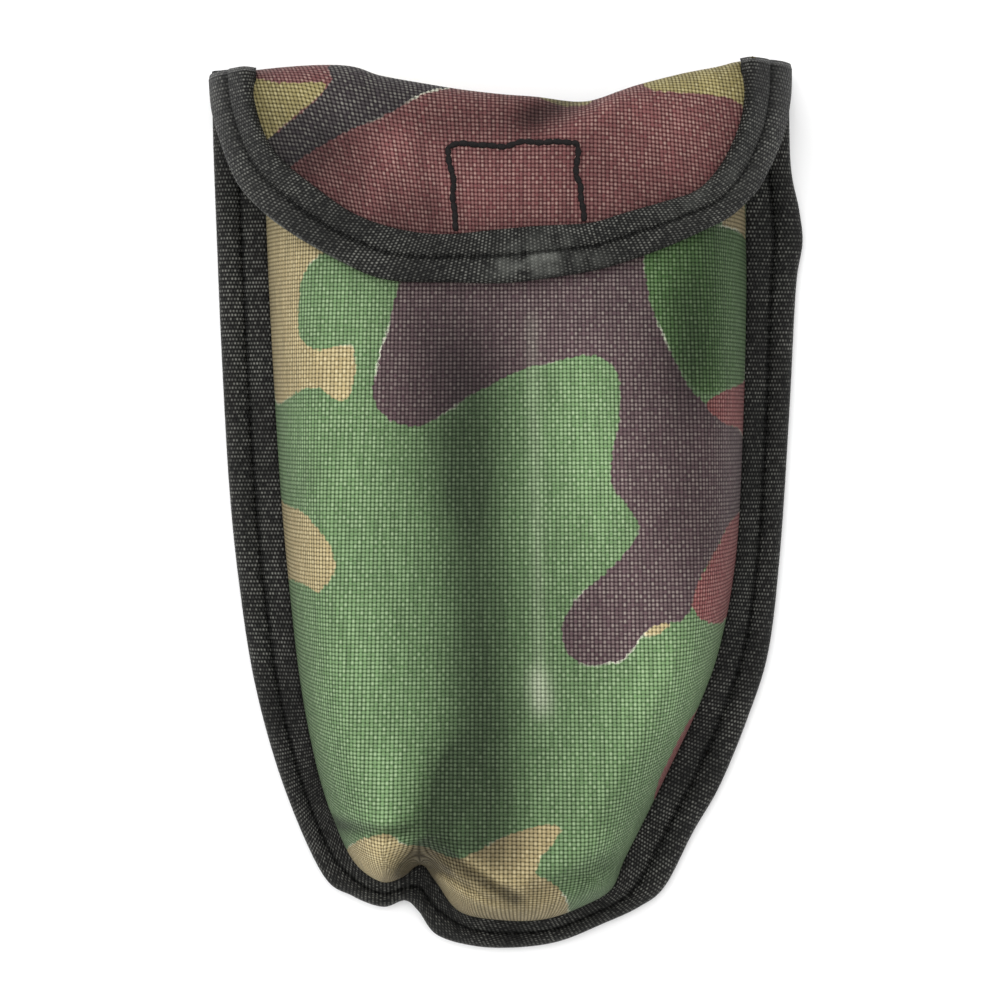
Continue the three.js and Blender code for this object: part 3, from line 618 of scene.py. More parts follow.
def tape_finish(name, dye, rib_highlight_colour, worn=0.0):
    """Ribbed tape: ribs across it, each crossed by fine threads that sit half a thread over in the
    next rib, dark between them with painted highlights on their tops, and a row of stitches sunk in
    the middle groove, which is darkened as painted shade."""
    made = Finish(name, 0.6, specular=0.22)
    place = made.node("ShaderNodeUVMap", {"uv_map": "Yarns"}).outputs[0]
    axes = made.node("ShaderNodeSeparateXYZ", Vector=place)
    rib = made.math("ABSOLUTE", made.math("SINE", made.math("MULTIPLY", axes.outputs[0], math.pi)))
    rib_number = made.math("FLOOR", axes.outputs[0])
    thread_at = made.math("MULTIPLY_ADD", axes.outputs[1], 1.35, made.math(
        "MULTIPLY", rib_number, 0.5))
    thread = made.math("ABSOLUTE", made.math("SINE", made.math("MULTIPLY", thread_at, math.pi)))
    height = made.math("MULTIPLY", made.math("POWER", rib, 0.8), made.span(thread, 0, 1, 0.3, 1))
    cell = made.node("ShaderNodeCombineXYZ", X=rib_number, Y=made.math("FLOOR", thread_at))
    glint = made.node("ShaderNodeTexWhiteNoise", {"noise_dimensions": "2D"}, Vector=cell).outputs[0]
    stitch = made.math("MULTIPLY", made.attribute("groove"), made.math("GREATER_THAN", made.math(
        "SINE", made.math("MULTIPLY", axes.outputs[0], math.pi / 1.6)), 0.1))
    patchy = made.span(made.noise(70, 3.0), 0.35, 0.7, 0.35, 1.0)
    # painted highlights: the tops of the threads lightened towards a pale grey, in patches, with
    # one brightness per thread
    shine = made.math("MULTIPLY", made.math("POWER", height, 3.0), made.math(
        "MULTIPLY", patchy, made.span(glint, 0, 1, 0.1, 1.5)))
    colour = made.mix(shine, dye, rib_highlight_colour)
    if worn:
        colour = made.mix(made.math("MULTIPLY", made.attribute("worn"), made.span(
            made.noise(260, 3.0), 0.35, 0.65, 0, worn)), colour, rgb(120, 122, 116))
    # painted shade: the colour darkened to three tenths along the sewn groove
    colour = made.scaled(colour, made.span(made.attribute("groove"), 0, 1, 1.0, 0.3))
    relief = made.math("ADD", height, made.math("MULTIPLY", stitch, 1.4))
    return made.finish(colour, made.bump(relief, 0.35 * MM, 1.0))


tape_black = tape_finish("binding_tape", rgb(10, 10, 9), rgb(112, 112, 106))
edge_tape = folded_tape("edge_tape", edge_outer, edge_inner, lambda x, y: 0 * x, TAPE_SECTION,
                        tape_black)
pouch_piece(edge_tape, "pouch", "webbing", "edge_binding")

# ---- Flap ----
# The back panel carries on over the pouch's mouth as a D-shaped flap of the same cloth. It
# rounds over the shovel's grip at the fold, drops at both sides to the pouch's corners, and
# sags in a dip right of the middle, where nothing inside holds it up.
FLAP_HALF = 69.2
FLAP_TOP = 39.6
FLAP_FOLD = [  # the fold, from the left corner to the right, in plan
    (-68.6, 100.2), (-58.4, 99.4), (-36.6, 98.9), (-27.9, 96.4), (-19.2, 94.7), (-9.6, 93.1),
    (0, 92), (8.2, 91.5), (17.2, 90.6), (21.7, 91.2), (26.2, 92.8), (30.7, 94.4), (40.4, 97.2),
    (48.4, 99.2), (55.6, 101.3), (68.2, 102)]
FLAP_OUTER = [  # the D's outer edge
    (-68.3, 100), (-67.2, 90.9), (-64.2, 81.6), (-60.4, 73), (-56.3, 67.9), (-51.4, 63.4),
    (-44.3, 58.5), (-35.8, 53.7), (-29, 50.6), (-22.2, 49.4), (-10.8, 49.2), (-0.8, 49),
    (8.3, 49.9), (17.4, 51.3), (24.6, 53), (35.6, 56.9), (44.9, 61.2), (51.1, 64.6),
    (55.5, 68.8), (58.5, 72.7), (63.3, 82.8), (65.8, 92.8), (66.2, 101.8)]
FLAP_INNER = [  # the tape's inner edge
    (-57.6, 99.4), (-56.5, 91), (-53.9, 82.9), (-49.9, 77.1), (-42.4, 70.8), (-34.5, 65),
    (-26.7, 61.6), (-18.6, 59.9), (-11.7, 59.6), (-4, 60.3), (3.6, 61), (8.3, 61.4),
    (19.2, 62.1), (26.4, 64.2), (35.6, 67), (43, 69.8), (47.6, 74.2), (51.1, 80), (54.1, 88.5),
    (54.8, 101.2)]
FLAP_CRESTS = [
    ((17.2, 92), (8, 87), 4, -2.4), ((6, 86), (-16, 84), 4.5, -0.9), ((24, 92), (40, 86), 6, 0.8),
    ((22, 88), (14, 82), 3, 1.0), ((-50, 84), (-22, 64), 7, -0.9), ((-40, 92), (-18, 74), 7, 0.8),
    ((-6, 72), (10, 70), 8, 0.5), ((22, 74), (34, 70), 5, -0.7)]


def flap_level(x, y):
    """The flap's height: a flat-topped arch across, 39.6 * sqrt(1 - |x / half|^3.2), with its
    crests and valleys, and never lower than the tape it lies on at the corners."""
    arch = FLAP_TOP * np.sqrt(np.clip(1 - np.abs(x / FLAP_HALF) ** 3.2, 0.012, 1))
    return np.maximum(arch + crests(x, y, FLAP_CRESTS) * np.clip(arch / 30 - 0.2, 0, 1), 6.6)


flap_outer = spaced(curve_through(FLAP_OUTER, 2000), 560)
flap_inner = spaced(curve_through(FLAP_INNER, 2000), 560)
fold_curve = curve_through(FLAP_FOLD, 800)
HEM_TUCK = 1.5  # how far the cloth goes in under its tape
FOLD_ROUND = 9.0
SEAM_FOOT = 1.7
WALL_ROWS, ROUND_ROWS, TOP_ROWS = 12, 16, 90
flap_end = spaced(curve_through(FLAP_INNER, 2000), 300)
flap_end += HEM_TUCK * np.stack([np.gradient(flap_end[:, 1]), -np.gradient(flap_end[:, 0])], -1) \
    / np.hypot(*np.gradient(flap_end, axis=0).T)[:, None]
flap_x = flap_end[:, 0]
fold_y = np.interp(flap_x, *fold_curve.T)
end_y = np.minimum(flap_end[:, 1], fold_y - 0.5)
fold_run = np.minimum(FOLD_ROUND, 0.6 * (fold_y - end_y))
fold_drop = np.minimum(FOLD_ROUND, 0.8 * (flap_level(flap_x, fold_y) - SEAM_FOOT))
turn = np.linspace(0, math.pi / 2, ROUND_ROWS)[:, None]
round_y = fold_y - fold_run * (1 - np.cos(turn))
round_z = flap_level(flap_x[None] + 0 * turn, round_y) - fold_drop * (1 - np.sin(turn))
wall_share = np.linspace(0, 1, WALL_ROWS, endpoint=False)[:, None]
wall_y = fold_y + 0.8 * np.sin(math.pi * wall_share)
wall_z = SEAM_FOOT + (round_z[:1] - SEAM_FOOT) * wall_share
top_share = np.linspace(0, 1, TOP_ROWS)[1:, None]
top_y = round_y[-1:] + (end_y - round_y[-1:]) * top_share
top_z = flap_level(flap_x[None] + 0 * top_y, top_y)
flap_y = np.vstack([wall_y, round_y, top_y])
flap_z = np.vstack([wall_z, round_z, top_z])
flap_xx = np.broadcast_to(flap_x, flap_y.shape)
flap_points = np.stack([flap_xx, flap_y, flap_z], -1) * MM
FLAP_PRINT = {
    TAN: [
        [(-62, 96.4), (-50, 94.6), (-41.6, 94), (-39.4, 93.2), (-41.4, 90.6), (-45.7, 87.6),
         (-50, 84.6), (-53.6, 81.8), (-62, 80)],
        [(6.4, 92.6), (9.4, 90.6), (14, 89), (18.4, 89.2), (20.4, 91.2), (22, 96), (8, 97)],
        [(31.4, 94), (35.4, 92), (42, 91.6), (50, 91.2), (60, 89), (62, 106), (30, 104)],
        [(-40, 112), (-22, 108), (-8, 116), (-20, 124), (-38, 120)]],
    "slate": [
        [(-39.4, 98), (-36, 101), (-20, 98), (-12, 93.6), (-17.5, 91.6), (-23.4, 87.8),
         (-29.6, 84.6), (-35.4, 82.6), (-43.4, 78.6), (-49.4, 75), (-56, 79), (-53.2, 82),
         (-48, 85.6), (-41.6, 90.4), (-38.6, 94.6)],
        [(6, 112), (24, 106), (44, 114), (34, 124), (12, 122)]]}
MAROON_DYE = rgb(92, 54, 54)
SLATE_DYE = rgb(44, 38, 41)
FLAP_TAN_DYE = rgb(122, 112, 72)
flap_finish = camouflage_cloth("camouflage_flap", MAROON_DYE,
                               [(TAN, FLAP_TAN_DYE), ("slate", SLATE_DYE)])
flap_cloth = mesh_piece("flap_cloth", flap_points,
                        grid_faces(*flap_y.shape, backwards=True), flap_finish)
flap_along = np.cumsum(np.vstack([flap_y[:1] * 0, np.hypot(
    np.diff(flap_y, axis=0), np.diff(flap_z, axis=0))]), axis=0)
lean = 0.28 * np.clip(-flap_xx / 45, 0, 1) + 0.12 * np.clip((flap_xx - 20) / 30, 0, 1)
flap_v = end_y + flap_along[-1:] - flap_along
keep_yarns(flap_cloth, (flap_xx + lean * (flap_v - 78)) * MM / YARN,
           (flap_v + 0.5 * lean * flap_xx) * MM / WEFT)
print_v = flap_y + np.clip(round_z[:1] - flap_z, 0, None)
flap_reach = near_edge(flap_xx, flap_y, flap_inner)[0]
# painted light and shade on the flap: lighter on its crests, darker in its valleys and a few
# creases, and darker next to its tape
keep_values(flap_cloth, **{key: islands(flap_xx, print_v, value)
                           for key, value in FLAP_PRINT.items()},
            worn=0 * flap_y,
            handled=np.clip(0.34 * crests(flap_xx, flap_y, FLAP_CRESTS) + crests(flap_xx, flap_y, [
                ((-44, 76), (-30, 84), 4, -0.4), ((-16, 66), (-18, 76), 3, -0.35),
                ((34, 80), (46, 90), 8, 0.3), ((-30, 66), (-24, 80), 3, 0.3)])
                            - 0.4 * np.exp(-flap_reach / 3), -1, 1))
thickness(flap_cloth, CLOTH)
pouch_piece(flap_cloth, "flap", "camouflage", "flap_panel")

# ---- Flap's binding tape ----
# The same tape round the D, folded over the flap's raw edge. It lies on the pouch's front,
# is rubbed pale over the hard edge inside, and its two ends turn down over the fold.
FLAP_TAPE_SECTION = [
    (1.0, -1.6), (0.5, -1.75), (0.05, -1.7), (-0.01, -1.2), (-0.02, -0.3), (0.0, 0.5),
    (0.06, 1.0), (0.25, 1.3), (0.4, 1.15), (0.475, 0.75), (0.5, 0.55), (0.525, 0.75),
    (0.6, 1.25), (0.8, 1.7), (0.93, 1.85), (0.99, 1.5), (1.01, 0.7)]
tape_sink = np.zeros((len(flap_outer), 1))
END_TURN = 5  # rows at either end that turn down over the fold
tape_sink[:END_TURN, 0] = np.linspace(3.4, 0, END_TURN, endpoint=False)
tape_sink[-END_TURN:, 0] = tape_sink[:END_TURN, 0][::-1]
flap_tape_finish = tape_finish("flap_tape", rgb(10, 10, 9), rgb(112, 112, 106), worn=0.55)
flap_tape = folded_tape("flap_tape", flap_outer, flap_inner, flap_level, FLAP_TAPE_SECTION,
                        flap_tape_finish, sink=tape_sink)
tape_place = np.empty(3 * len(flap_tape.data.vertices))
flap_tape.data.vertices.foreach_get("co", tape_place)
tape_x, tape_y = tape_place.reshape(-1, 3)[:, :2].T / MM
tape_share = np.empty(len(flap_tape.data.vertices), np.float32)
flap_tape.data.attributes["share"].data.foreach_get("value", tape_share)
keep_values(flap_tape, worn=crests(tape_x, tape_y, [
    ((3, 53.6), (9, 55.6), 3.4, 0.9), ((8, 52), (20, 54), 2.2, 0.4), ((40, 66), (52, 74), 3, 0.3)])
    + np.where(tape_x < -34, np.exp(-(tape_share / 0.025) ** 2), 0) * (tape_share < 0.04))
pouch_piece(flap_tape, "flap", "webbing", "flap_binding")

# ---- Stitched box on the flap ----
# Heavy black thread sewn round three sides of the hook patch behind, wandering a little, with
# each stitch drawn down into the cloth.
BOX_PATH = [(-10.4, 60.4), (-11.0, 67), (-11.6, 73), (-12.4, 77.6), (-11.4, 79.2), (-6, 79.6),
            (-1, 79.3), (4, 80), (10, 79.9), (14.6, 80.3), (16.4, 79.6), (16.4, 76), (15.9, 72.6),
            (17.0, 70), (17.6, 66), (18.2, 62.6)]
STITCH = 2.1
THREAD = 0.7
SIDES = 8
box_curve = spaced(curve_through(BOX_PATH, 1500), 480)
box_run = along_curve(box_curve)
box_way = np.gradient(box_curve, axis=0)
box_way /= np.hypot(*box_way.T)[:, None]
swell = np.abs(np.sin(math.pi * box_run / STITCH)) ** 0.5
radius = THREAD * (0.5 + 0.5 * swell)
sway = 0.22 * np.sin(box_run / 2.7) + 0.16 * np.sin(box_run / 1.1 + 1)
box_side = np.stack([-box_way[:, 1], box_way[:, 0]], -1)
box_line = box_curve + box_side * sway[:, None]
box_angle = np.linspace(0, 2 * math.pi, SIDES, endpoint=False)
thread_out = (radius[:, None] * np.cos(box_angle))[..., None]
thread_plan = box_line[:, None] + box_side[:, None] * thread_out
thread_z = (flap_level(*box_line.T) + 0.15)[:, None] + radius[:, None] * np.sin(box_angle)
thread_finish = Finish("black_thread", 0.8, specular=0.15)
twist = thread_finish.noise(1800, 2.0)
box_stitching = mesh_piece(
    "box_stitching", np.concatenate([thread_plan, thread_z[..., None]], -1) * MM,
    tube_faces(len(box_curve), SIDES),
    thread_finish.finish(thread_finish.mix(twist, rgb(6, 6, 6), rgb(34, 31, 31)),
                         thread_finish.bump(twist, 0.2 * MM)))
pouch_piece(box_stitching, "flap", "webbing")

# ---- Hook and loop patches ----
# Two oblongs of nylon touch fastening, sewn on: soft loops on the front panel, and stiff
# hooks behind the flap that press into them.
PATCH_LEFT, PATCH_RIGHT, PATCH_LOW, PATCH_HIGH = -10.6, 16.4, 61.5, 78.6
PATCH_DEEP = 0.6
PATCH_GRID = (60, 80)
patch_x, patch_y = np.meshgrid(np.linspace(PATCH_LEFT, PATCH_RIGHT, PATCH_GRID[1]),
                               np.linspace(PATCH_HIGH, PATCH_LOW, PATCH_GRID[0]))
patch_reach = near_edge(patch_x, patch_y, edge_inner)[0]
loop_level = front_level(patch_x, patch_y, patch_reach) + PATCH_DEEP + 0.1
hook_level = flap_level(patch_x, patch_y) - CLOTH / MM - PATCH_DEEP - 0.1
for patch_name, level, body, node, grain, faces_down in (
        ("loop_fastening", loop_level, "pouch", "loop_patch", 700, False),
        ("hook_fastening", hook_level, "flap", "hook_patch", 1100, True)):
    fuzz = Finish(patch_name, 0.9, specular=0.2)
    tuft = fuzz.noise(grain, 3.0)
    made_patch = mesh_piece(
        patch_name, np.stack([patch_x, patch_y, level], -1) * MM,
        grid_faces(*PATCH_GRID, backwards=not faces_down),
        fuzz.finish(fuzz.mix(tuft, rgb(14, 14, 14), rgb(58, 57, 55)), fuzz.bump(tuft, 0.5 * MM)))
    thickness(made_patch, PATCH_DEEP * MM)
    pouch_piece(made_patch, body, "hook_and_loop", node)

# ---- Back of the pouch, and the strip in its fold ----
# The plain panel that lies on the ground and carries on into the flap: the same cloth, with
# larger islands in its print, its top edge along the fold. A narrow strip of cloth sewn across
# the inside of the fold closes the gap behind the mouth, and bends where the flap turns.
BACK_LEVEL = 1.25
BACK_HALF, BACK_ROWS, BACK_COLUMNS = 56.2, 200, 160
back_top = np.linspace(-BACK_HALF, BACK_HALF, BACK_COLUMNS)
back_top = np.stack([back_top, np.interp(back_top, *fold_curve.T) - 0.4], -1)
back_left = np.vstack([back_top[:1], seam[int(np.argmax(seam[:, 1] < 98)):left_end + 1]])
back_right = np.vstack([seam[right_end - 1:len(seam) - int(np.argmax(seam[::-1, 1] < 98))],
                        back_top[-1:]])[::-1]
back_plan = four_sided(back_top, spaced(seam[left_end:right_end], BACK_COLUMNS),
                       spaced(back_left, BACK_ROWS), spaced(back_right, BACK_ROWS))
bx, by = back_plan[..., 0], back_plan[..., 1]
back_z = BACK_LEVEL + 0.12 * np.sin(bx / 9) * np.sin(by / 13 + 0.6)
back_points = np.stack([bx, by, back_z], -1) * MM
BACK_PRINT = {
    TAN: [[(-60, 60), (-40, 66), (-22, 58), (-26, 44), (-44, 38), (-60, 42)],
          [(14, -22), (34, -14), (44, -26), (34, -44), (18, -40)],
          [(-34, -60), (-12, -54), (-4, -66), (-16, -78), (-34, -74)]],
    LEAF: [[(10, 92), (34, 88), (40, 70), (22, 62), (8, 74)]],
    PLUM: [[(-60, 22), (-30, 26), (-6, 14), (14, 22), (40, 10), (60, 16), (60, -6), (34, -4),
            (12, -12), (-10, -32), (-26, -28), (-24, -8), (-46, -2), (-60, 4)]],
    RUST: [[(-50, 92), (-24, 96), (-10, 84), (-28, 74), (-50, 78)],
           [(10, -58), (30, -54), (26, -76), (12, -78)]]}
back_cloth = mesh_piece("back_cloth", back_points, grid_faces(*bx.shape), front_cloth_finish)
keep_yarns(back_cloth, bx * MM / YARN, by * MM / WEFT)
# the back's painted shading is one even level, a little darker than the front's
keep_values(back_cloth, **{key: islands(bx, by, value) for key, value in BACK_PRINT.items()},
            worn=0 * bx, handled=0 * bx - 0.1)
thickness(back_cloth, CLOTH)
pouch_piece(back_cloth, "pouch", "camouflage", "back_panel")
STRIP_HALF, STRIP_ROWS, STRIP_COLUMNS = 53, 28, 200
STRIP_LAP, STRIP_TOP = 6, 9.5
STRIP_INSIDE, STRIP_FOOT = 1.5, 2.5  # in from the fold, and up from the ground
NO_ISLAND = -9
strip_x = np.linspace(-STRIP_HALF, STRIP_HALF, STRIP_COLUMNS)
strip_fold = np.interp(strip_x, *fold_curve.T)
strip_share = np.linspace(0, 1, STRIP_ROWS)[:, None] + 0 * strip_x
strip_y = strip_fold - STRIP_INSIDE - STRIP_LAP * np.clip(1 - 2.4 * strip_share, 0, 1)
strip_z = STRIP_FOOT + (STRIP_TOP - STRIP_FOOT) * np.clip(2.4 * strip_share - 1, 0, 1.4) / 1.4
strip_points = np.stack([strip_x + 0 * strip_share, strip_y, strip_z], -1) * MM
fold_strip = mesh_piece("fold_strip", strip_points, grid_faces(*strip_y.shape), flap_finish)
keep_yarns(fold_strip, strip_points[..., 0] / YARN, (strip_z - strip_y) * MM / WEFT)
# the strip's painted shading is one even level too
keep_values(fold_strip, worn=0 * strip_y, handled=0 * strip_y - 0.1,
            **{key: 0 * strip_y + NO_ISLAND for key in FLAP_PRINT})
thickness(fold_strip, 0.6 * CLOTH)
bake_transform(fold_strip)

# ---- Belt loop ----
# A wide strip of the same black webbing up the middle of the back, for a belt to pass
# under. Each of its ends is sewn down with a box of stitches.
LOOP_HALF, LOOP_LONG, LOOP_DEEP = 19.0, 42.5, 0.9
LOOP_GRID = (180, 119)
LOOP_SEAMS = (40.2, 33.4)  # sewn rows, from the loop's middle
loop_section = curve_through([
    (-LOOP_HALF, 0.45), (-LOOP_HALF + 0.3, 0.1), (-6, 0.02), (6, 0.02), (LOOP_HALF - 0.3, 0.1),
    (LOOP_HALF, 0.45), (LOOP_HALF - 0.3, 0.82), (6, LOOP_DEEP), (-6, LOOP_DEEP),
    (-LOOP_HALF + 0.3, 0.82), (-LOOP_HALF, 0.45)], LOOP_GRID[1] + 1)[:-1]
loop_run = np.linspace(-LOOP_LONG, LOOP_LONG, LOOP_GRID[0])
loop_x = np.broadcast_to(loop_section[:, 0], LOOP_GRID)
loop_z = np.broadcast_to(loop_section[:, 1], LOOP_GRID)
loop_y = np.broadcast_to(loop_run[:, None], LOOP_GRID)
sewn = sum(np.exp(-((np.abs(loop_y) - row) / 0.35) ** 2) for row in LOOP_SEAMS)
sewn = sewn + np.where(np.abs(np.abs(loop_y) - 36.8) < 3.6,
                       np.exp(-((np.abs(loop_x) - 17) / 0.35) ** 2), 0)
loop_drawn = np.clip(loop_z + 0.25 * sewn * (loop_z < 0.4), 0, LOOP_DEEP)
loop_points = np.stack([loop_x, loop_y, loop_drawn], -1) * MM
belt_loop_strap = mesh_piece(
    "belt_loop_strap", loop_points, tube_faces(*LOOP_GRID, backwards=True), tape_black)
keep_yarns(belt_loop_strap, loop_y / RIB, loop_x / RIB)
# the sewn rows are darkened in the tape's material as painted shade
keep_values(belt_loop_strap, groove=np.clip(sewn, 0, 1))
pouch_piece(belt_loop_strap, "pouch", "webbing", "belt_loop")

# ---- Mouth binding ----
# A narrower fold of the same black tape over the front panel's raw top edge, under the
# flap. It is stitched through along its lower edge.
MOUTH_ROWS = 14
mouth_rows = front_points[:MOUTH_ROWS] / MM
mouth_up = np.cross(np.gradient(mouth_rows, axis=0), np.gradient(mouth_rows, axis=1))
mouth_up /= np.linalg.norm(mouth_up, axis=-1)[..., None]
mouth_up *= np.sign(mouth_up[..., 2:].mean())
TAPE_DEEP = 0.85
mouth_out = mouth_rows + mouth_up * TAPE_DEEP
mouth_in = mouth_rows - mouth_up * (CLOTH / MM + TAPE_DEEP)
lip = np.stack([(mouth_out[0] + (mouth_in[0] - mouth_out[0]) * share) + np.array([0, bulge, 0])
                for share, bulge in ((0.0, 0.5), (0.2, 0.85), (0.5, 1.0), (0.8, 0.85), (1.0, 0.5))])
mouth_loop = np.concatenate([mouth_out[::-1], lip, mouth_in])
mouth_count = len(mouth_loop)
mouth_skin = np.swapaxes(mouth_loop, 0, 1)
mouth_tape = mesh_piece(
    "mouth_tape", mouth_skin * MM, tube_faces(COLUMNS, mouth_count), tape_black)
mouth_run = along_curve(front_points[0] / MM)[:, None] + np.zeros((1, mouth_count))
mouth_side = along_curve(mouth_loop[:, COLUMNS // 2])[None] + 0 * mouth_run
keep_yarns(mouth_tape, mouth_run / RIB, mouth_side / RIB)
# the stitched line is darkened in the tape's material as painted shade
keep_values(mouth_tape, groove=np.exp(-((mouth_side - 2.4) / 0.4) ** 2))
pouch_piece(mouth_tape, "pouch", "webbing", "mouth_binding")

# ---- Blade ----
# A dished steel blade, pressed from 1.5 mm sheet, with a saw edge down one side and a pointed
# digging tip. Black paint, scraped through to bright steel along the edges and at the tip.
BLADE_ROOT, BLADE_SHOULDER = 61.8, 45.8
BELLY, BLADE_TIP = -14.7, -84.2
TOOTH_TOP, TOOTH_COUNT, TOOTH_PITCH, TOOTH_DEEP = 37.8, 9, 5.5, 2.2
BLADE_SHEET = 1.5
BLADE_ROWS, BLADE_COLUMNS = 420, 90


def bend_between(first, control, last, count=200):
    """A quadratic curve between two points, drawn towards a third."""
    t = np.linspace(0, 1, count)[:, None]
    return ((1 - t) ** 2 * np.array(first) + 2 * t * (1 - t) * np.array(control)
            + t**2 * np.array(last))


side = np.vstack([
    bend_between((29.1, BLADE_ROOT), (BLADE_HALF, BLADE_ROOT - 1), (BLADE_HALF, BLADE_SHOULDER)),
    bend_between((BLADE_HALF, BELLY), (45.6, -60.2), (0, BLADE_TIP))])
blade_t = np.linspace(0, 1, BLADE_ROWS)
blade_v = BLADE_ROOT + (BLADE_TIP - BLADE_ROOT) * (1 - (1 - blade_t) ** 1.5)
half = np.interp(-blade_v, -side[:, 1], side[:, 0])
tooth = (TOOTH_TOP - blade_v) / TOOTH_PITCH
toothed = (tooth > 0) & (tooth < TOOTH_COUNT)
left_half = half - np.where(toothed, TOOTH_DEEP * (tooth % 1), 0)
spread_u = np.linspace(-1, 1, BLADE_COLUMNS)[None]
blade_x = np.where(spread_u < 0, spread_u * left_half[:, None], spread_u * half[:, None])
blade_y = np.broadcast_to(blade_v[:, None], blade_x.shape)
blade_z = blade_back(blade_x, blade_y)
edge_gap = np.minimum((1 - np.abs(spread_u)) * half[:, None],
                      np.minimum(blade_y - BLADE_TIP, BLADE_ROOT - blade_y))


def worn_steel(name, coat, roughness, edge=True):
    """Powder-coated steel: an orange-peel skin with dust in it, fine scratches along the piece,
    and bright steel where the coat has been scraped from its edge."""
    made = Finish(name, roughness)
    peel = made.noise(900, 2.0)
    dust = made.span(made.noise(60, 4.0), 0.45, 0.75)
    scratch = made.span(made.noise(120, 3.0, stretch=(14, 0.7, 1)), 0.66, 0.7)
    colour = made.mix(made.math("MULTIPLY", dust, 0.25), coat, rgb(120, 116, 108))
    bare = made.math("MULTIPLY", scratch, 0.45)
    if edge:
        ragged = made.math("ADD", made.attribute("edge_gap"), made.span(
            made.noise(160, 4.0), 0, 1, -2.6, 2.6))
        bare = made.math("MAXIMUM", bare, made.span(ragged, 0.6, 1.6, 1, 0))
    made.tree.links.new(bare, made.shader.inputs["Metallic"])
    return made.finish(made.mix(bare, colour, rgb(176, 176, 172)), made.bump(peel, 0.03 * MM),
                       made.span(bare, 0, 1, roughness, 0.32))


blade_skin = mesh_piece("blade_skin", np.stack([blade_x, blade_y, blade_z], -1) * MM,
                        grid_faces(BLADE_ROWS, BLADE_COLUMNS, backwards=True),
                        worn_steel("blade_paint", rgb(34, 35, 36), 0.42))
keep_values(blade_skin, edge_gap=edge_gap)
thickness(blade_skin, BLADE_SHEET * MM)
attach(blade_skin, "blade")
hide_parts("blade")

# ---- Blade bracket, shaft head, clevis and throat ----
# Folded and cast steel fittings between blade, shaft and handle, powder-coated black. Their
# corners are broken and rubbed.
fitting_paint = worn_steel("fitting_paint", rgb(30, 31, 32), 0.5, edge=False)
for node in ("blade_bracket", "shaft_head", "mid_clevis", "handle_throat"):
    fitting = bpy.data.objects[node]
    fitting.data.materials.clear()
    fitting.data.materials.append(fitting_paint)
    rounding = fitting.modifiers.new("broken_corners", "BEVEL")
    rounding.width = 0.3 * MM
    rounding.segments = 2
    rounding.limit_method = "ANGLE"

# ---- Shaft tube ----
# A short length of thin-walled steel tube, painted black, its two ends cut square and
# deburred. The shaft head and the clevis each have a spigot riveted into one of them.


def turned(name, profile, centre, axis, material, sides=96, flutes=0, flute_deep=0.0):
    """A turned piece: a closed profile of (along, radius) points carried round an axis ("X",
    "Y" or "Z") through the centre. A point's radius is cut back by flute_deep * cos(n a)^8 where
    it stands outside the profile's middle radius, for n flutes."""
    loop = np.array(profile, float)
    angle = np.linspace(0, 2 * math.pi, sides, endpoint=False)[:, None]
    along = np.broadcast_to(loop[:, 0], (sides, len(loop)))
    radius = np.broadcast_to(loop[:, 1], (sides, len(loop))).copy()
    if flutes:
        outside = loop[:, 1] > loop[:, 1].mean()
        radius -= outside * flute_deep * np.cos(angle * flutes / 2) ** 8
    a, b = radius * np.cos(angle), radius * np.sin(angle)
    order = {"X": (along, a, b), "Y": (b, along, a), "Z": (a, b, along)}[axis]
    points = (np.stack(order, -1) + np.array(centre)) * MM
    count = len(loop)
    r, c = np.meshgrid(np.arange(sides), np.arange(count), indexing="ij")
    ahead, beside = (r + 1) % sides, (c + 1) % count
    quads = np.stack([r * count + c, ahead * count + c, ahead * count + beside,
                      r * count + beside], -1).reshape(-1, 4)
    return mesh_piece(name, points, quads, material)


def ring_profile(low, high, inner, outer, corner):
    """The closed profile of a ring or tube, its four corners rounded off by small arcs."""
    a = np.linspace(0, math.pi / 2, 5)
    arcs = [((high - corner, outer - corner), 0), ((low + corner, outer - corner), 1),
            ((low + corner, inner + corner), 2), ((high - corner, inner + corner), 3)]
    return [(mid[0] + corner * math.cos(t + q * math.pi / 2),
             mid[1] + corner * math.sin(t + q * math.pi / 2)) for mid, q in arcs for t in a]


def pin_profile(half_long, shank, head, deep):
    """The closed profile of a headed pin about its middle: domed heads on a plain shank."""
    t = np.linspace(0, math.pi / 2, 8)
    dome = [(half_long - deep + deep * math.sin(k), head * math.cos(k) + 0.02) for k in t]
    right = [(half_long - deep, shank)] + dome
    return right + [(-along, radius) for along, radius in right[::-1]]


def turned_piece(made, body, node):
    """A turned piece of the shovel: rides its body and stands for its node."""
    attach(made, body)
    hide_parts(node)


SHAFT_Z = 20.0
steel_paint = worn_steel("steel_paint", rgb(32, 33, 34), 0.45, edge=False)
turned_piece(turned("shaft_sleeve", ring_profile(-50.2, 51.8, 6.5, 8.0, 0.3), (0, 0, SHAFT_Z), "Y",
                    steel_paint), "shaft", "shaft_tube")

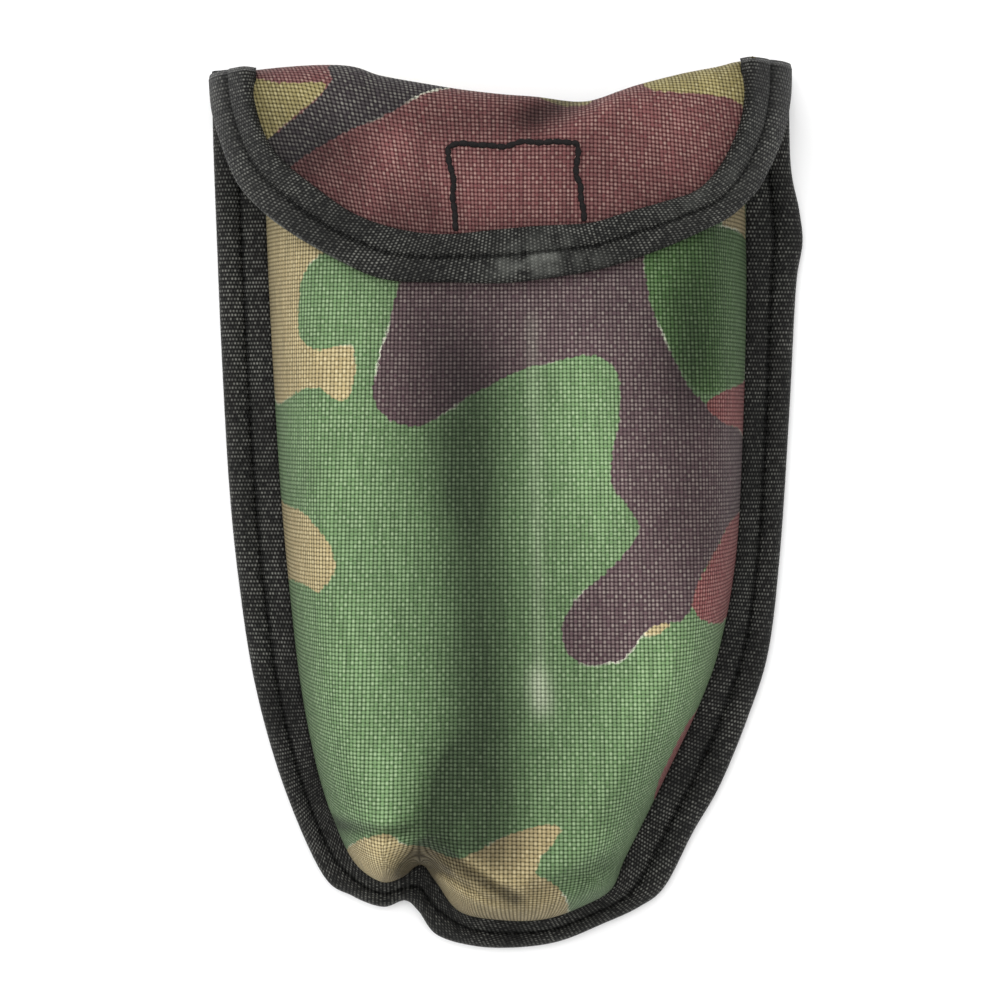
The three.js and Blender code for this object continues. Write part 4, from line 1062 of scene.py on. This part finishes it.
# ---- Locking collar and washer ----
# A fluted steel collar that screws up against the blade's hinge, and the plain zinc-plated
# washer that runs ahead of it.
COLLAR_SIDES, COLLAR_FLUTES, FLUTE_DEEP = 192, 12, 1.2
zinc = Finish("zinc_plate", 0.34, metallic=1.0)
zinc_cloud = zinc.noise(220, 4.0)
zinc_plate = zinc.finish(zinc.mix(zinc_cloud, rgb(150, 152, 156), rgb(204, 204, 198)),
                         zinc.bump(zinc.noise(1400, 2.0), 0.02 * MM),
                         zinc.span(zinc_cloud, 0.3, 0.7, 0.28, 0.46))
turned_piece(turned("collar_grip", ring_profile(35.8, 51.8, 8.15, 11.0, 0.7), (0, 0, SHAFT_Z),
                    "Y", worn_steel("collar_paint", rgb(28, 29, 30), 0.48, edge=False),
                    COLLAR_SIDES, COLLAR_FLUTES, FLUTE_DEEP),
             "collar", "locking_collar")
turned_piece(turned("washer_ring", ring_profile(34.0, 35.5, 8.15, 10.4, 0.25), (0, 0, SHAFT_Z), "Y",
                    zinc_plate), "collar_slide", "collar_washer")

# ---- Pins and rivets ----
# Zinc-plated steel, each with two domed heads closed over the fitting it holds. The two
# thick ones are the hinges' pins; the six thin ones join blade, bracket, head and clevis.
PIN_SIDES = 48
for name, node, body, centre, axis, half_long, shank, head, deep in (
        ("blade_pin", "blade_hinge_pin", "shaft", (0, 71.8, 24.0), "X", 8.2, 2.45, 4.2, 1.2),
        ("mid_pin", "mid_hinge_pin", "shaft", (0, -62.2, 13.7), "X", 8.2, 2.45, 4.2, 1.2),
        ("neck_rivet", "head_rivet", "shaft", (0, 45.8, 20.0), "X", 7.9, 1.5, 1.5, 0.4),
        ("clevis_pin", "clevis_rivet", "shaft", (0, -44.2, 20.0), "X", 9.0, 1.5, 3.0, 0.7),
        ("blade_rivet_a", "bracket_rivet_1", "blade", (-6, 55.3, 32.85), "Z", 2.65, 1.5, 2.9, 0.7),
        ("blade_rivet_b", "bracket_rivet_2", "blade", (6, 55.3, 32.85), "Z", 2.65, 1.5, 2.9, 0.7),
        ("blade_rivet_c", "bracket_rivet_3", "blade", (-6, 22.0, 32.75), "Z", 2.65, 1.5, 2.9, 0.7),
        ("blade_rivet_d", "bracket_rivet_4", "blade", (6, 22.0, 32.75), "Z", 2.65, 1.5, 2.9, 0.7)):
    pin = turned(name, pin_profile(half_long, shank, head, deep), centre, axis, zinc_plate,
                 PIN_SIDES)
    turned_piece(pin, body, node)

# ---- Handle rod ----
# One 8 mm steel rod bent into a D, with rounded corners at the grip, painted black. Both of
# its ends are held in the throat.
ROD, ROD_Z, ROD_BEND, ROD_SIDES = 4.0, 7.4, 13.0, 40
ROD_CORNERS = [(-10.07, -38.2), (-38, 68.8), (38, 68.8), (10.07, -38.2)]


def bent_rod(corners, bend):
    """A line through corners, each rounded by an arc of about the given radius."""
    points = [np.array(corners[0], float)]
    for before, corner, after in zip(corners, corners[1:], corners[2:]):
        corner = np.array(corner, float)
        back, ahead = np.array(before) - corner, np.array(after) - corner
        reach = min(bend, 0.45 * np.hypot(*back), 0.45 * np.hypot(*ahead))
        start = corner + back / np.hypot(*back) * reach
        end = corner + ahead / np.hypot(*ahead) * reach
        points.extend(bend_between(start, corner, end, 16))
    points.append(np.array(corners[-1], float))
    return np.array(points)


rod_line = bent_rod(ROD_CORNERS, ROD_BEND)
rod_way = np.gradient(rod_line, axis=0)
rod_way /= np.hypot(*rod_way.T)[:, None]
rod_angle = np.linspace(0, 2 * math.pi, ROD_SIDES, endpoint=False)
rod_plan = rod_line[:, None] + (np.stack([-rod_way[:, 1], rod_way[:, 0]], -1)[:, None]
                                * (ROD * np.cos(rod_angle))[None, :, None])
rod_high = np.broadcast_to(ROD_Z + ROD * np.sin(rod_angle), rod_plan.shape[:2])
rod_points = np.concatenate([rod_plan, rod_high[..., None]], -1) * MM
handle_rod = mesh_piece(
    "handle_rod", rod_points, tube_faces(len(rod_line), ROD_SIDES), steel_paint)
turned_piece(handle_rod, "handle", "handle_frame")

# ---- Grip ----
# Two moulded nylon half shells, screwed together round the rod's cross bar, with three shallow
# finger waists and a fine stipple.
GRIP_HALF, GRIP_DEEP, GRIP_HIGH, GRIP_Y = 25.0, 8.5, 5.1, 68.8
GRIP_ROWS, ARC_POINTS = 121, 41
grip_plastic = Finish("grip_nylon", 0.5)
stipple = grip_plastic.noise(2600, 2.0)
grip_colour = grip_plastic.mix(grip_plastic.span(grip_plastic.noise(90, 4.0), 0.45, 0.8, 0, 0.4),
                               rgb(24, 24, 25), rgb(88, 86, 82))
grip_finish = grip_plastic.finish(grip_colour, grip_plastic.bump(stipple, 0.12 * MM))
grip_run = np.linspace(-1, 1, GRIP_ROWS)
grip_waist = 1 - 0.05 * (1 + np.cos(grip_run * math.pi * 4)) / 2 * (np.abs(grip_run) < 0.95)
grip_end = np.clip((1 - np.abs(grip_run)) * GRIP_HALF / 1.5, 0, 1)
grip_waist = grip_waist * (0.86 + 0.14 * np.sqrt(1 - (1 - grip_end) ** 2))
PARTING = 0.2
BORE = 4.15
for name, node, sign in (("grip_top", "grip_upper", 1), ("grip_bottom", "grip_lower", -1)):
    arc = np.linspace(0, math.pi, ARC_POINTS)
    outer_y = np.sign(np.cos(arc)) * np.abs(np.cos(arc)) ** 0.8 * GRIP_DEEP
    outer_z = np.sin(arc) ** 0.8 * (GRIP_HIGH - PARTING)
    bore_arc = arc[::-1]
    bore_y, bore_z = BORE * np.cos(bore_arc), BORE * np.sin(bore_arc) * 0.97
    ring_y, ring_z = (np.concatenate([
        skin[None] * grip_waist[:, None], np.broadcast_to(bore, (GRIP_ROWS, ARC_POINTS))], 1)
        for skin, bore in ((outer_y, bore_y), (outer_z, bore_z)))
    shell = np.stack([np.broadcast_to(grip_run[:, None] * GRIP_HALF, ring_y.shape), GRIP_Y + ring_y,
                      ROD_Z + sign * (PARTING + ring_z)], -1)
    faces = tube_faces(GRIP_ROWS, 2 * ARC_POINTS, backwards=True)
    if sign < 0:
        faces = [face[::-1] for face in faces]
    half_shell = mesh_piece(name, shell * MM, faces, grip_finish)
    turned_piece(half_shell, "handle", node)
for node in ("grip_screw_left", "grip_screw_right"):
    screw = bpy.data.objects[node]
    screw.data.materials.clear()
    screw.data.materials.append(zinc_plate)
